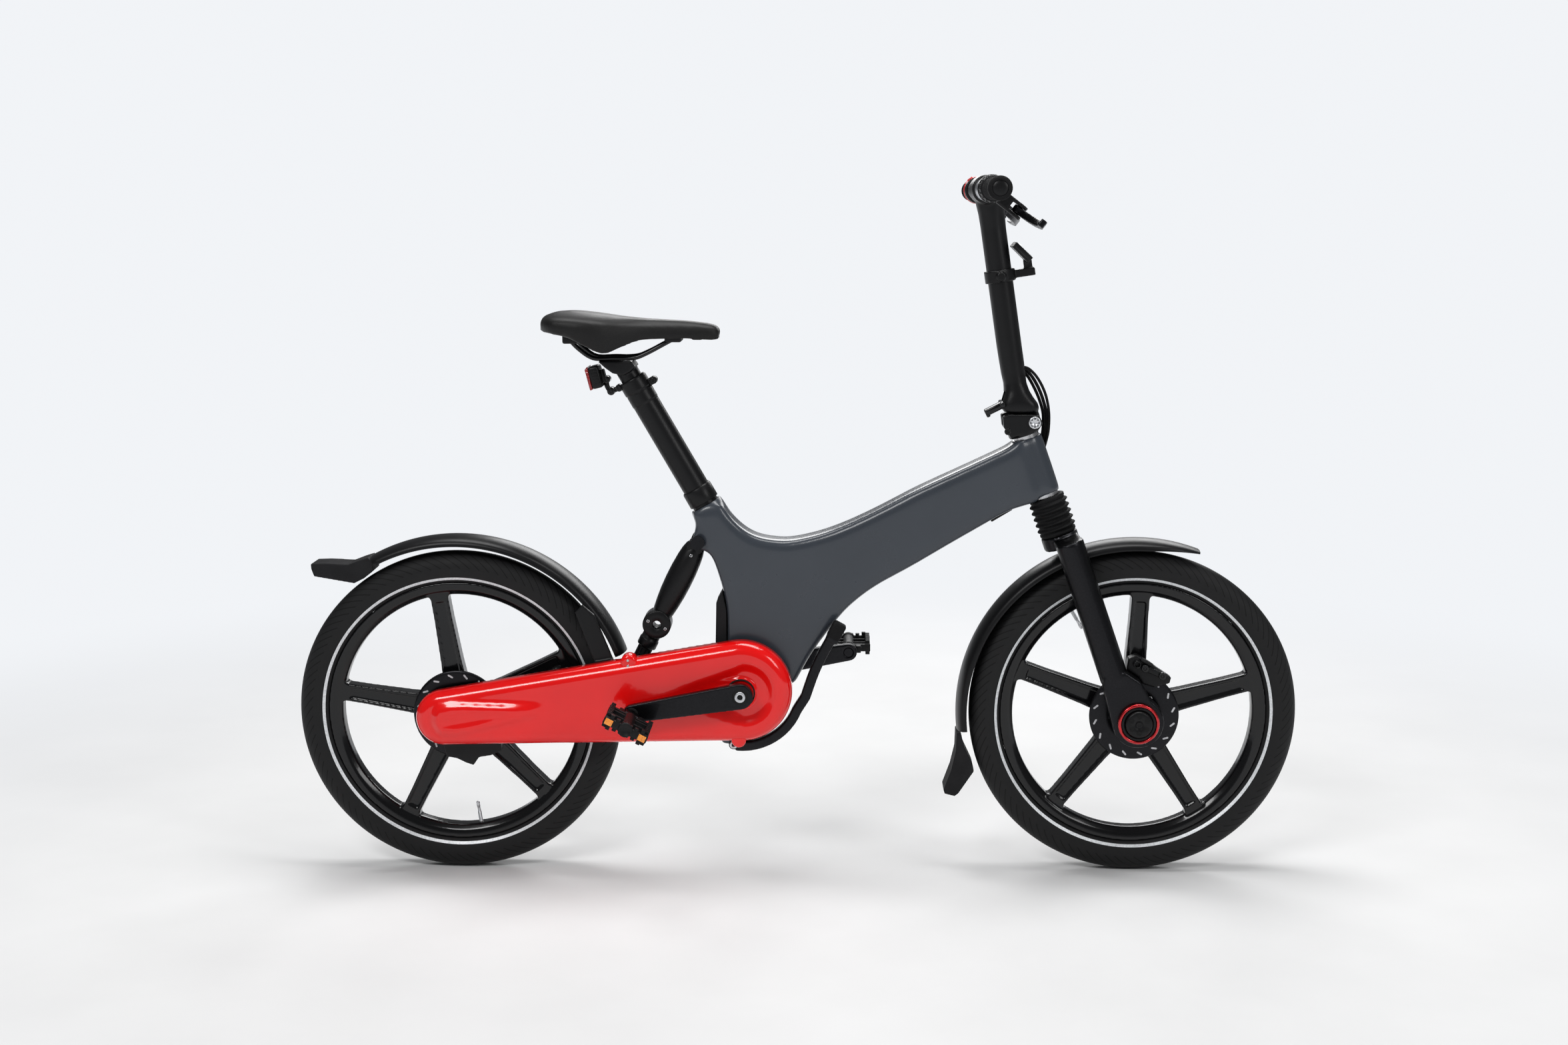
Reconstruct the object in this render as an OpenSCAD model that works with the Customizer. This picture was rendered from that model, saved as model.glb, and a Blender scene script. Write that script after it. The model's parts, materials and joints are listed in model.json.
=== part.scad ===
// Folding bicycle with a single-sided fork and an enclosed chain drive.
// +X points forward, +Y to the rider's left and +Z up. The origin is on the ground, midway between the axles.

/* [Wheels] */
// Distance between the two axles
wheelbase = 1065; // [1055:1:1080]
// Outer diameter of the tyres
tyre_od = 516; // [512:1:518]
// Width of the tyres
tyre_w = 55; // [50:1:56]
// Number of spokes in each wheel
spoke_count = 5; // [3:1:6]
// Diameter of the brake discs
disc_d = 140; // [120:2:142]
// Diameter of the wheel axles
axle_d = 16; // [14:1:18]

/* [Steering] */
// Angle of the steering axis above the horizontal
head_angle = 71; // [70:0.5:72]
// Distance of the tyre contact point behind the steering axis
trail = 67.5; // [64:0.5:70]
// Outer diameter of the head tube
head_tube_d = 50; // [48:1:54]
// Height of the handlebar axis
bar_z = 1073; // [1060:1:1085]
// Width of the handlebar over the grips
bar_w = 612; // [580:2:630]

/* [Drive] */
// Height of the crank axis
crank_z = 303; // [300:1:306]
// Length of the cranks
crank_len = 170; // [165:1:172]
// Teeth on the chainring
ring_teeth = 33; // [30:1:33]
// Teeth on the rear sprocket
sprocket_teeth = 15; // [13:1:16]

/* [Seat] */
// Angle of the seat post above the horizontal
seat_angle = 60.2; // [59:0.2:61]
// Outer diameter of the outer seat post
post_d = 42; // [40:1:43]
// Outer diameter of the inner seat post
inner_post_d = 34; // [30:1:35]

/* [Fits] */
// Radial clearance of every running fit
fit = 0.05; // [0.02:0.01:0.09]

/* [Hidden] */
$fn = 64;

gap = 0.5;                       // air between parts that move past each other
wheel_r = tyre_od / 2;
section_r = tyre_w / 2;
tyre_ring_r = wheel_r - section_r;
front_x = wheelbase / 2;
rear_x = -wheelbase / 2;
rim_r = 209;                     // outer edge of the rim flanges
rim_half_w = 19;
spoke_half_t = 13;
hub_r = 40;
disc_r = disc_d / 2;
disc_y = -34;                    // brake disc face nearest the wheel
disc_t = 3;

steer_x = front_x + trail;       // steering axis meets the ground here
lean = 90 - head_angle;
head_lo = 636;                   // ends of the head tube, along the steering axis
head_hi = 738;
steerer_d = 30;
fold_x = 371;                    // stem hinge
fold_z = 719;
bar_x = 292;
leg_y = -61;                     // fork leg
leg_d = 44;
leg_fwd = 8;                     // leg centre ahead of the steering axis
steerer_lo = 600;
stanchion_d = 22;                // fork tube that slides inside the steerer
crown_lo = 552;
crown_hi = 574;

crank_x = -82;
chain_pitch = 12.7;
ring_r = chain_pitch / (2 * sin(180 / ring_teeth));
sprocket_r = chain_pitch / (2 * sin(180 / sprocket_teeth));
case_front_r = 80;
case_rear_r = 44;
case_rear_x = rear_x - 17;
case_rear_z = wheel_r + 1;
case_out_y = -78;
case_split_y = -49;
case_in_y = -44;
case_wall = 3;
chain_y = -63;                   // middle of the chain
bb_shell_d = 52;
spindle_d = 24;
crank_out_y = -101;
crank_in_y = -87;

seat_mouth = [-139, 590];        // seat post axis where it enters the frame
seat_lean = -(90 - seat_angle);
shock_top = [-149.5, 533];
shock_lo = [-250, 332];
stand_pivot = [-95, 214];
stand_y = -48;                   // outer face of the kickstand

black = "#1b1b1d";
rubber = "#232323";
silver = "#b9bcc0";
slate = "#5b626b";
red = "#c41a1c";

// ---- helpers: outlines are drawn in the X-Z plane and extruded along Y ----

// Solid between the planes Y = y0 and Y = y1
module slab(y0, y1) translate([0, y1, 0]) rotate([90, 0, 0]) linear_extrude(y1 - y0) children();

// Cylinder along Y at (x, z)
module pin(x, z, d, y0, y1) translate([x, y1, z]) rotate([90, 0, 0]) cylinder(d = d, h = y1 - y0);

// Ring along Y at (x, z)
module ring(x, z, d, bore, y0, y1) difference() {
    pin(x, z, d, y0, y1);
    pin(x, z, bore, y0 - 1, y1 + 1);
}

// Straight bar of round section between two points
module bar(a, b, d) {
    v = b - a;
    translate(a) rotate([0, acos(v[2] / norm(v)), atan2(v[1], v[0])]) cylinder(d = d, h = norm(v));
}

// Smooth curve through the points p, with n steps to each span
function smooth(p, n = 4) = let (m = len(p) - 1) [
    for (i = [0 : m - 1], k = [0 : n - 1])
        let (a = p[max(i - 1, 0)], b = p[i], c = p[i + 1], d = p[min(i + 2, m)], t = k / n)
            0.5 * (2 * b + (c - a) * t + (2 * a - 5 * b + 4 * c - d) * t * t
                + (3 * b - a - 3 * c + d) * t * t * t),
    p[m]];

// Unit normal of the curve p at point i
function normal(p, i) = let (v = p[min(i + 1, len(p) - 1)] - p[max(i - 1, 0)]) [-v[1], v[0]] / norm(v);

// Strip that follows the curve p, with half-width w0 at its start and w1 at its end
function strip(p, w0, w1) = let (m = len(p) - 1) concat(
    [for (i = [0 : m]) p[i] + normal(p, i) * (w0 + (w1 - w0) * i / m)],
    [for (i = [m : -1 : 0]) p[i] - normal(p, i) * (w0 + (w1 - w0) * i / m)]);

// Points of an arc from angle a0 to a1
function arc(c, r, a0, a1, n = 16) = [for (i = [0 : n]) let (a = a0 + (a1 - a0) * i / n)
    c + r * [cos(a), sin(a)]];

// Outline of a belt around two circles, with the circle at a in front of the circle at b
function belt(a, ra, b, rb, n = 20) =
    let (v = b - a, along = atan2(v[1], v[0]), tilt = acos((ra - rb) / norm(v)))
        concat(arc(a, ra, along + tilt - 360, along - tilt, n), arc(b, rb, along - tilt, along + tilt, n));

// Places its children on the steering axis, with local Z up along it and local X forward
module on_steer() translate([steer_x, 0, 0]) rotate([0, -lean, 0]) children();

// Places its children on the seat post axis, with local Z up along it
module on_seat() translate([seat_mouth[0], 0, seat_mouth[1]]) rotate([0, seat_lean, 0]) children();

// ---- frame ----
frame_half = 31;
frame_top = [[-113, 594], [-99, 573], [-80, 554], [-58, 541], [-30, 535.5], [0, 535.5], [54, 549],
    [117, 576], [192, 615], [265, 649], [332, 681], [352, 697]];
frame_under = [[382, 594], [336, 581], [259, 538], [185, 494], [125, 460], [84, 427], [54, 391],
    [24, 348], [0, 303]];
frame_rear = [[-106, 364], [-106, 425], [-116, 472], [-131, 512], [-146, 518], [-161, 533], [-152, 560],
    [-161, 577]];
battery_from = [30, 497];
battery_to = [292, 622];
battery_h = 44;
battery_w = 46;

module battery_space(extra) {
    v = battery_to - battery_from;
    translate([battery_from[0], 0, battery_from[1]]) rotate([0, -atan2(v[1], v[0]), 0])
        translate([-extra, -battery_w / 2 - extra, -battery_h / 2 - extra])
            cube([norm(v) + 2 * extra, battery_w + 2 * extra, battery_h + 2 * extra]);
}

module port_space(depth) translate([318, 0, 582]) rotate([0, -31, 0])
    translate([-19, -13, -12]) cube([38, 26, depth]);

module frame() color(slate) difference() {
    union() {
        slab(-frame_half, frame_half) polygon(concat(smooth(frame_top), smooth(frame_under),
            arc([crank_x, crank_z], 42, 0, -70, 6), [[-72, 206], [-118, 206], [-118, 232]],
            [[-108, 270]], smooth(frame_rear, 3)));
        on_steer() translate([0, 0, head_lo]) cylinder(d = head_tube_d, h = head_hi - head_lo);
        pin(crank_x, crank_z, bb_shell_d, case_in_y - 10, 40);
        on_seat() translate([0, 0, -30]) cylinder(d = post_d + 14, h = 33);
    }
    on_steer() translate([0, 0, head_lo - 1]) cylinder(d = steerer_d + 10, h = head_hi - head_lo + 2);
    on_steer() translate([0, 0, head_lo - 50]) cylinder(d = 64, h = 50);
    on_steer() translate([0, 0, head_hi]) cylinder(d = 64, h = 50);
    pin(crank_x, crank_z, spindle_d + 12, case_in_y - 12, 42);
    on_seat() translate([0, 0, -205]) cylinder(d = post_d + 2, h = 220);
    pin(shock_top[0], shock_top[1], 10, -32, 32);
    pin(stand_pivot[0], stand_pivot[1], 12, -32, 32);
    slab(-15, 15) polygon([[-170, 540], [-138, 556], [-124, 520], [-122, 486], [-150, 486]]);
    battery_space(0.5);
    port_space(34);
    bar([393.5, 14, 702], [388, 14, 652], loop_d + 2);
}

module battery_pack() color("dimgray") battery_space(0);

module cable_port_cover() color(black) port_space(6);

module frame_bearings() color(silver) {
    for (s = [head_lo, head_hi - 10]) on_steer() translate([0, 0, s]) difference() {
        cylinder(d = steerer_d + 10, h = 10);
        translate([0, 0, -1]) cylinder(d = steerer_d + 2 * fit, h = 12);
    }
    for (y = [case_in_y - 10, 28]) ring(crank_x, crank_z, spindle_d + 12, spindle_d + 2 * fit, y, y + 12);
}

module rear_cover() color(black) slab(-26, 26)
    polygon([[-106, 364], [-106, 425], [-112, 455], [-122, 436], [-124, 364], [-118, 340], [-106.6, 340]]);

module seat_sleeve() color(black) on_seat() difference() {
    translate([0, 0, 3]) cylinder(d = post_d + 14, h = 26);
    cylinder(d = post_d + 2 * fit, h = 40);
}

module pivot_pins() color(silver) {
    pin(shock_top[0], shock_top[1], 10, -34, 34);
    for (y = [-38, 34]) pin(shock_top[0], shock_top[1], 22, y, y + 4);
    pin(stand_pivot[0], stand_pivot[1], 12, -48.5, 31);
    pin(stand_pivot[0], stand_pivot[1], 15, -51.5, -48.5);
}

module kickstand() color(black) {
    path = concat(arc([crank_x, crank_z], 93, -96, -22, 12),
        smooth([[18, 290], [32, 330], [50, 368], [71, 402]], 4));
    difference() {
        union() {
            slab(stand_y, stand_y + 14) polygon(strip(path, 8, 8));
            pin(stand_pivot[0], stand_pivot[1], 16, stand_y, stand_y + 14);
            slab(stand_y - 3, stand_y + 16) polygon(strip([[58, 379], [73, 406]], 10, 9));
        }
        pin(stand_pivot[0], stand_pivot[1], 12 + 2 * fit, stand_y - 1, stand_y + 15);
        pin(crank_x, crank_z, 2 * (case_front_r + gap + 1), -60, -30);
    }
}

// ---- steering ----
mast_foot = [346, 745];
mast_top = [300, 1056];

module steerer() color(black) difference() {
    union() {
        on_steer() translate([0, 0, steerer_lo]) cylinder(d = steerer_d, h = head_hi + 5 - steerer_lo);
        on_steer() translate([0, 0, head_hi + gap]) cylinder(d = 52, h = 10);
        slab(-26, 26) polygon([[322, 728], [324, 711], [336, 694], [356, 702], [378, 708], [384, 718],
            [378, 730], [364, 731], [330, 731]]);
    }
    on_steer() translate([0, 0, steerer_lo - 1]) cylinder(d = stanchion_d + 2 * fit, h = 120);
    pin(fold_x, fold_z, 10, -27, 27);
    slab(-15.5, 15.5) polygon([[356, 706], [392, 706], [392, 740], [340, 740], [340, 727]]);
    slab(-12, 12) polygon([[300, 712], [346, 712], [346, 740], [300, 740]]);
    on_steer() translate([0, 0, head_hi - 30]) difference() {
        cylinder(d = 90, h = 30 + gap);
        translate([0, 0, -1]) cylinder(d = steerer_d, h = 40);
    }
}

module stem_hinge_pin() color(silver) {
    pin(fold_x, fold_z, 10, -26, 26);
    for (y = [-31, 26]) difference() {
        pin(fold_x, fold_z, 19, y, y + 5);
        for (k = [0 : 7]) pin(fold_x + 6 * cos(45 * k), fold_z + 6 * sin(45 * k), 1.8, y - 1, y + 1.5);
    }
}

module stem_mast() color(black) difference() {
    union() {
        bar([mast_foot[0], 0, mast_foot[1]], [mast_top[0], 0, mast_top[1]], 39);
        slab(-25, 25) polygon([[323, 738], [336, 734], [352, 735], [366, 734], [374, 732.5], [379, 738],
            [371, 768], [361, 794], [316, 794]]);
        slab(-15, 15) polygon(concat([[352, 742]], arc([fold_x, fold_z], 10, 160, 380, 12), [[379, 742]]));
        pin(bar_x, bar_z, 44, -42, 42);
    }
    pin(bar_x, bar_z, 32, -44, 44);
    pin(fold_x, fold_z, 10 + 2 * fit, -16, 16);
    pin(322, 746, 8, -27, 27);
    translate([330, 14, 805.2]) rotate([0, 90, 0]) cylinder(d = 14, h = 40);
    slab(-12, 12) polygon([[300, 733], [336, 733], [336, 766], [300, 766]]);
}

module latch_lever() color(black) difference() {
    union() {
        pin(322, 746, 8 - 2 * fit, -26, 26);
        slab(-11, 11) polygon(concat(arc([322, 746], 8, 70, -60, 8), [[331, 723], [325, 720], [316, 719.5],
            [307, 724], [300, 722.5], [294, 731], [298, 739], [311, 744]]));
    }
    pin(302, 731, 6, -12, 12);
}

// Places its children on the stem mast, a height along it above its foot
module on_mast(along) translate([mast_foot[0], 0, mast_foot[1]])
    rotate([0, atan2(mast_top[0] - mast_foot[0], mast_top[1] - mast_foot[1]), 0])
        translate([0, 0, along]) children();

lens_foot = [47, 0, 27];         // lower edge of the lens plate, from the mast's clamp
lens_lean = 37;

module reflector_bracket() color(black) on_mast(190) {
    difference() {
        cylinder(d = 47, h = 19);
        translate([0, 0, -1]) cylinder(d = 39, h = 21);
    }
    translate([22, -6, 3]) cube([32, 12, 12]);
    translate([0, -24, 0]) rotate([90, 0, 0]) translate([0, 9, -2]) cylinder(d = 14, h = 9);
    translate([38, -4, 14]) cube([13, 8, 13.5]);
    translate(lens_foot) rotate([0, -lens_lean, 0]) translate([-5, -27, 0]) cube([5, 54, 34]);
}

module reflector_lens() color("whitesmoke") on_mast(190) translate(lens_foot) rotate([0, -lens_lean, 0])
    translate([0, -25, 2]) cube([6, 50, 30]);

module handlebar() color(silver) {
    pin(bar_x, bar_z, 32, -66, 66);
    for (side = [-1, 1]) bar_half(side, 66, bar_w / 2 - 3);
}

// One outer half of the handlebar, from y = inner to y = outer on the given side
module bar_half(side, inner, outer) translate([bar_x, side * inner, bar_z]) rotate([-side * 90, 0, 0]) {
    cylinder(d1 = 32, d2 = 22, h = 28);
    translate([0, 0, 28]) cylinder(d = 22, h = outer - inner - 28);
}

grip_in = 178;
grip_d = 33;
shifter_in = 142;
shifter_out = 177;

module grips() color(rubber) for (side = [-1, 1]) difference() {
    translate([bar_x, side * grip_in, bar_z]) rotate([-side * 90, 0, 0]) union() {
        cylinder(d = grip_d, h = bar_w / 2 - grip_in - 3);
        translate([0, 0, bar_w / 2 - grip_in - 3]) cylinder(d = 24, h = 3);
    }
    pin(bar_x, bar_z, 22, -bar_w / 2 + 3, bar_w / 2 - 3);
}

module gear_shifter() color(black) difference() {
    pin(bar_x, bar_z, 42, -shifter_out, -shifter_in);
    pin(bar_x, bar_z, 22 + 2 * fit, -shifter_out - 1, -shifter_in + 1);
}

perch_y = 126;                   // middle of each brake perch
lever_tilt = 38;                 // brake levers point this far below the horizontal
lever_pivot = 50;                // lever pivot, forward of the bar in the lever's plane
lever_t = 11;
button_y = 154;
button_tilt = -35;
button_d = 10;

// Places its children at a brake perch, with local X forward in the lever's plane
module on_lever(side) translate([bar_x, side * perch_y, bar_z]) rotate([0, lever_tilt, 0]) children();

module on_button() translate([bar_x, button_y, bar_z]) rotate([0, button_tilt, 0]) children();

module brake_perches() color(black) difference() {
    union() {
        for (side = [-1, 1]) {
            pin(bar_x, bar_z, 34, side * perch_y - 12, side * perch_y + 12);
            on_lever(side) translate([0, -9, -11]) cube([48, 18, 22]);
            on_lever(side) translate([lever_pivot, 0, -11]) cylinder(d = 22, h = 22);
        }
        pin(bar_x, bar_z, 42, button_y - 12, button_y + 12);
    }
    pin(bar_x, bar_z, 22, -200, 200);
    for (side = [-1, 1]) on_lever(side) {
        translate([lever_pivot - 13, -20, -lever_t / 2 - gap]) cube([40, 40, lever_t + 2 * gap]);
        translate([lever_pivot, 0, -9]) cylinder(d = 6, h = 18);
    }
    on_button() translate([0, 0, 12.5]) cylinder(d = button_d + 2 * fit, h = 20);
}

// Brake lever that pivots in its perch and runs out in front of the grip
module brake_lever(side) on_lever(side) {
    translate([lever_pivot, 0, -8.9]) cylinder(d = 6 - 2 * fit, h = 17.8);
    translate([0, 0, -lever_t / 2]) linear_extrude(lever_t) {
        translate([lever_pivot, 0]) circle(8);
        polygon(strip(smooth([[lever_pivot + 3, side * 2], [66, side * 12], [77, side * 40],
            [83, side * 90], [79, side * 136]], 4), 6, 4.5));
    }
}

module brake_lever_right() color(black) brake_lever(-1);

module brake_lever_left() color(black) brake_lever(1);

module boost_button() color(red) on_button() translate([0, 0, 15]) cylinder(d = button_d, h = 8);

// Bundle of hoses that loops in front of the fold, from the mast to the frame
loop_d = 9;
loop_path = [[344, 803], [354, 807], [365, 802], [377, 787], [387, 764], [393, 738], [394, 712], [393, 690],
    [390, 666]];

module cable_loop() color(black) {
    p = smooth(loop_path, 3);
    n = len(p);
    polyhedron(points = [for (i = [0 : n - 1], k = [0 : 9]) let (v = normal(p, i))
            [p[i][0] + loop_d / 2 * v[0] * cos(36 * k), 14 + loop_d / 2 * sin(36 * k),
                p[i][1] + loop_d / 2 * v[1] * cos(36 * k)]],
        faces = concat([[for (k = [0 : 9]) k]], [[for (k = [9 : -1 : 0]) (n - 1) * 10 + k]],
            [for (i = [0 : n - 2], k = [0 : 9]) let (a = i * 10 + k, b = i * 10 + (k + 1) % 10)
                [a, a + 10, b + 10, b]]));
}

// ---- fork ----
module fork() color(black) difference() {
    union() {
        on_steer() translate([0, 0, crown_lo]) cylinder(d = 58, h = crown_hi - crown_lo);
        on_steer() translate([0, 0, crown_lo]) cylinder(d = stanchion_d, h = 140);
        on_steer() translate([leg_fwd, leg_y, 338]) cylinder(d = leg_d, h = crown_hi - 345);
        on_steer() translate([leg_fwd - 20, leg_y, crown_lo]) cube([40, -leg_y, 16]);
        slab(-80, -42) polygon(concat(arc([front_x, wheel_r], 40, -150, 60, 20),
            [[536, 322], [512, 338], [479, 328], [480, 306]]));
    }
    pin(front_x, wheel_r, axle_d, -90, -40);
}

module front_axle() color(black) {
    pin(front_x, wheel_r, axle_d, -82, 35);
    difference() {
        pin(front_x, wheel_r, 42, -92, -82);
        for (k = [0 : 5]) pin(front_x + 14 * cos(60 * k), wheel_r + 14 * sin(60 * k), 7, -94, -88);
    }
    pin(front_x, wheel_r, 30, 35, 38);
}

module axle_ring() color(red) ring(front_x, wheel_r, 64, 42, -88, -80);

module front_caliper() color(black) difference() {
    slab(-46, -26) polygon([[520, 352], [533, 358], [556, 344], [566, 336], [587, 322], [585, 313],
        [561, 306], [530, 316], [516, 330]]);
    pin(front_x, wheel_r, disc_d + 4, disc_y - 2, disc_y + disc_t + 2);
    on_steer() translate([leg_fwd, leg_y, 300]) cylinder(d = leg_d + 0.2, h = 80);
    slab(-81, -41.8) polygon([[495, 346], [512, 338.4], [536.4, 322.4], [554, 292], [500, 290]]);
}

fender_t = 2.5;

// Fender of crown radius r around the wheel at x, from angle a0 to a1
module fender(x, r, edge_r, half_w, a0, a1) {
    rise = r - edge_r;
    shell = [for (k = [-8 : 8]) let (u = k / 8) [edge_r + rise * pow(1 - u * u, 0.45), half_w * u]];
    inner = [for (k = [8 : -1 : -8]) let (u = k / 8)
        [edge_r - 0.1 + (rise - fender_t) * pow(1 - u * u, 0.45), (half_w - fender_t) * u]];
    translate([x, 0, wheel_r]) rotate([90, 0, 0]) rotate([0, 0, a0])
        rotate_extrude(angle = a1 - a0, $fn = 128) polygon(concat(shell, inner));
}

module front_fender() color(black) {
    difference() {
        fender(front_x, 277.5, 262, 34, 69, 186);
        on_steer() translate([leg_fwd, leg_y, 300]) cylinder(d = leg_d, h = 280);
    }
    difference() {
        on_steer() translate([-4, -12, 534]) cube([20, 24, crown_lo - 534]);
        translate([front_x, 0, wheel_r]) rotate([90, 0, 0]) cylinder(r = 276.5, h = 60, center = true);
    }
}

module front_mudflap() color(rubber) slab(-24, 24)
    polygon([[256, 226], [255, 196], [248, 166], [236, 133], [238, 127], [254, 123], [260, 128], [284, 164],
        [282, 174], [268, 204], [263, 226]]);

// Rubber bellows between the head tube and the fork crown
module bellows() color(rubber) {
    lo = crown_hi;
    hi = head_lo - gap;
    folds = 5;
    on_steer() rotate_extrude() polygon(concat([[19, lo], [24, lo]],
        [for (k = [0 : 2 * folds]) [k % 2 == 0 ? 25 : 31, lo + (hi - lo) * (k + 0.5) / (2 * folds + 1)]],
        [[24, hi], [19, hi]]));
}

// ---- wheels, drawn around the Y axis at the origin and then placed ----
module on_wheel(x) translate([x, 0, wheel_r]) rotate([90, 0, 0]) children();

module wheel(a0) difference() {
    union() {
        rotate_extrude($fn = 128) polygon([[188, -10], [197, -17], [rim_r, -rim_half_w], [rim_r, -15],
            [203, -14.6], [201, -6], [198, 0], [201, 6], [203, 14.6], [rim_r, 15], [rim_r, rim_half_w],
            [197, 17], [188, 10]]);
        cylinder(r = hub_r + 12, h = 34, center = true);
        for (k = [0 : spoke_count - 1]) rotate([0, 0, a0 + 360 * k / spoke_count])
            translate([0, 0, -spoke_half_t]) linear_extrude(2 * spoke_half_t)
                polygon([[hub_r + 4, -19], [80, -16.5], [150, -14.2], [183, -14], [191, -18], [191, 18],
                    [183, 14], [150, 14.2], [80, 16.5], [hub_r + 4, 19]]);
    }
    cylinder(r = hub_r, h = 60, center = true);
    for (k = [0 : spoke_count - 1], face = [-1, 1]) rotate([0, 0, a0 + 360 * k / spoke_count])
        translate([0, 0, face * (spoke_half_t + 2) - 5]) linear_extrude(10)
            polygon([[60, -11.5], [178, -9], [178, 9], [60, 11.5]]);
}

module tyre() rotate_extrude($fn = 128) union() {
    difference() {
        translate([tyre_ring_r, 0]) circle(section_r);
        translate([tyre_ring_r, 0]) circle(section_r - 4);
        translate([rim_r - 30, -30]) square([30, 60]);
    }
    for (side = [-1, 1]) translate([203.2, side * 12.2 - 2.3]) square([8, 4.6]);
}

module brake_disc() difference() {
    translate([0, 0, -disc_y - disc_t]) cylinder(r = disc_r, h = disc_t);
    cylinder(r = 24, h = 100, center = true);
    for (k = [0 : 11]) rotate([0, 0, 30 * k]) for (j = [0 : 2])
        translate([40 + 9 * j, 5 * j, 20]) cylinder(d = 5.5, h = 30);
}

module front_wheel() color(black) on_wheel(front_x) wheel(87);
module front_tyre() color(rubber) on_wheel(front_x) tyre();
module front_brake_disc() color(black) on_wheel(front_x) brake_disc();

module front_hub() color(black) on_wheel(front_x) difference() {
    union() {
        cylinder(r = hub_r, h = 60, center = true);
        cylinder(r = 24, h = -disc_y + disc_t);
        translate([0, 0, -34]) cylinder(r = 20, h = 30);
    }
    cylinder(d = axle_d + 2 * fit, h = 100, center = true);
}

module rear_wheel() color(black) on_wheel(rear_x) wheel(98.8);
module rear_tyre() color(rubber) on_wheel(rear_x) tyre();
module rear_brake_disc() color(black) on_wheel(rear_x) brake_disc();

freewheel_d = 34;

module rear_hub() color(black) on_wheel(rear_x) difference() {
    union() {
        cylinder(r = hub_r, h = 60, center = true);
        cylinder(r = 24, h = -disc_y + disc_t);
        translate([0, 0, -34]) cylinder(r = 20, h = 30);
    }
    cylinder(d = axle_d + 2 * fit, h = 100, center = true);
    translate([0, 0, 26]) cylinder(d = freewheel_d + 2 * fit, h = 20);
}

// ---- swinging arm ----
case_outline = belt([crank_x, crank_z], case_front_r, [case_rear_x, case_rear_z], case_rear_r);

module case_inside(y0, y1) slab(y0, y1) polygon(belt([crank_x, crank_z], case_front_r - case_wall,
    [case_rear_x, case_rear_z], case_rear_r - case_wall));

module chaincase() color(red) difference() {
    union() {
        slab(case_out_y, case_split_y) polygon(case_outline);
        slab(case_out_y - 6, case_out_y) polygon(belt([-462, 268], 22, [case_rear_x + 18, case_rear_z], 29));
        pin(-256, 352, 24, case_out_y, case_split_y);
        pin(-86, 224, 24, case_out_y + 8, case_split_y - 3);
    }
    case_inside(case_out_y + case_wall, case_split_y + 1);
    pin(crank_x, crank_z, spindle_d + 4, case_out_y - 2, case_split_y);
    difference() {
        pin(crank_x, crank_z, 110, case_out_y - 3, case_out_y + 1.2);
        pin(crank_x, crank_z, 46, case_out_y - 4, case_out_y + 2);
    }
    pin(rear_x, wheel_r, axle_d, case_out_y + 1, case_split_y);
}

module chaincase_back() color(black) difference() {
    union() {
        slab(case_split_y, case_in_y) polygon(case_outline);
        pin(shock_lo[0], shock_lo[1], 26, case_in_y, -16);
        pin(shock_lo[0], shock_lo[1], 10, -16, 14);
        slab(case_in_y, -34) polygon([[-276, 330], [-308, 330], [-342, 424], [-330, 436], [-312, 420]]);
    }
    pin(crank_x, crank_z, bb_shell_d + 2 * fit, case_split_y - 1, case_in_y + 1);
    pin(rear_x, wheel_r, freewheel_d + 4, case_split_y - 1, case_in_y + 1);
}

// Chain as a closed band round both sprockets
module chain() color("dimgray") difference() {
    slab(chain_y - 3.5, chain_y + 3.5)
        polygon(belt([crank_x, crank_z], ring_r + 6.5, [rear_x, wheel_r], sprocket_r + 6.5));
    slab(chain_y - 4, chain_y + 4)
        polygon(belt([crank_x, crank_z], ring_r + 0.8, [rear_x, wheel_r], sprocket_r + 0.8));
}

module rear_axle() color(silver) difference() {
    union() {
        pin(rear_x, wheel_r, axle_d, case_out_y + 1, 35);
        pin(rear_x, wheel_r, 30, 35, 38);
        pin(rear_x, wheel_r, 30, case_out_y + case_wall, case_out_y + case_wall + 4);
    }
}

module rear_caliper() color(black) difference() {
    slab(case_in_y, -26) polygon([[-556, 214], [-550, 191], [-534, 188], [-520, 181], [-508, 177],
        [-499, 190], [-480, 193], [-463, 201], [-463, 216]]);
    pin(rear_x, wheel_r, disc_d + 4, disc_y - 2, disc_y + disc_t + 2);
}

module rear_fender() color(black) fender(rear_x, 283.5, 268, 34, 20, 118);

module rear_mudflap() color(rubber) slab(-24, 24)
    polygon([[-662, 500], [-669, 507], [-682, 503], [-700, 496], [-738, 498], [-760, 497], [-759, 488],
        [-755, 477], [-692, 466], [-676, 474], [-662, 486]]);

module rear_sprocket() color(silver) difference() {
    union() {
        toothed(rear_x, wheel_r, sprocket_r, sprocket_teeth);
        pin(rear_x, wheel_r, freewheel_d, chain_y, -27);
    }
    pin(rear_x, wheel_r, axle_d + 2 * fit, -80, -20);
}

// ---- drive ----
module toothed(x, z, r, teeth) slab(chain_y - 1.2, chain_y + 1.2)
    polygon([for (k = [0 : 4 * teeth - 1]) [x, z] + (k % 4 < 2 ? r : r - 5)
        * [cos(90 * k / teeth), sin(90 * k / teeth)]]);

crank_angle = 189.4;
crank_tip = [crank_x, crank_z] + crank_len * [cos(crank_angle), sin(crank_angle)];
far_tip = [crank_x, crank_z] - crank_len * [cos(crank_angle), sin(crank_angle)];
pedal_d = 14;

module crank_right() color(black) {
    difference() {
        slab(crank_out_y, crank_in_y) polygon(belt([crank_x, crank_z], 20, crank_tip, 14));
        pin(crank_tip[0], crank_tip[1], pedal_d + 2 * fit, crank_out_y - 1, crank_in_y + 1);
    }
    pin(crank_x, crank_z, spindle_d, crank_in_y, -crank_in_y);
}

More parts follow.
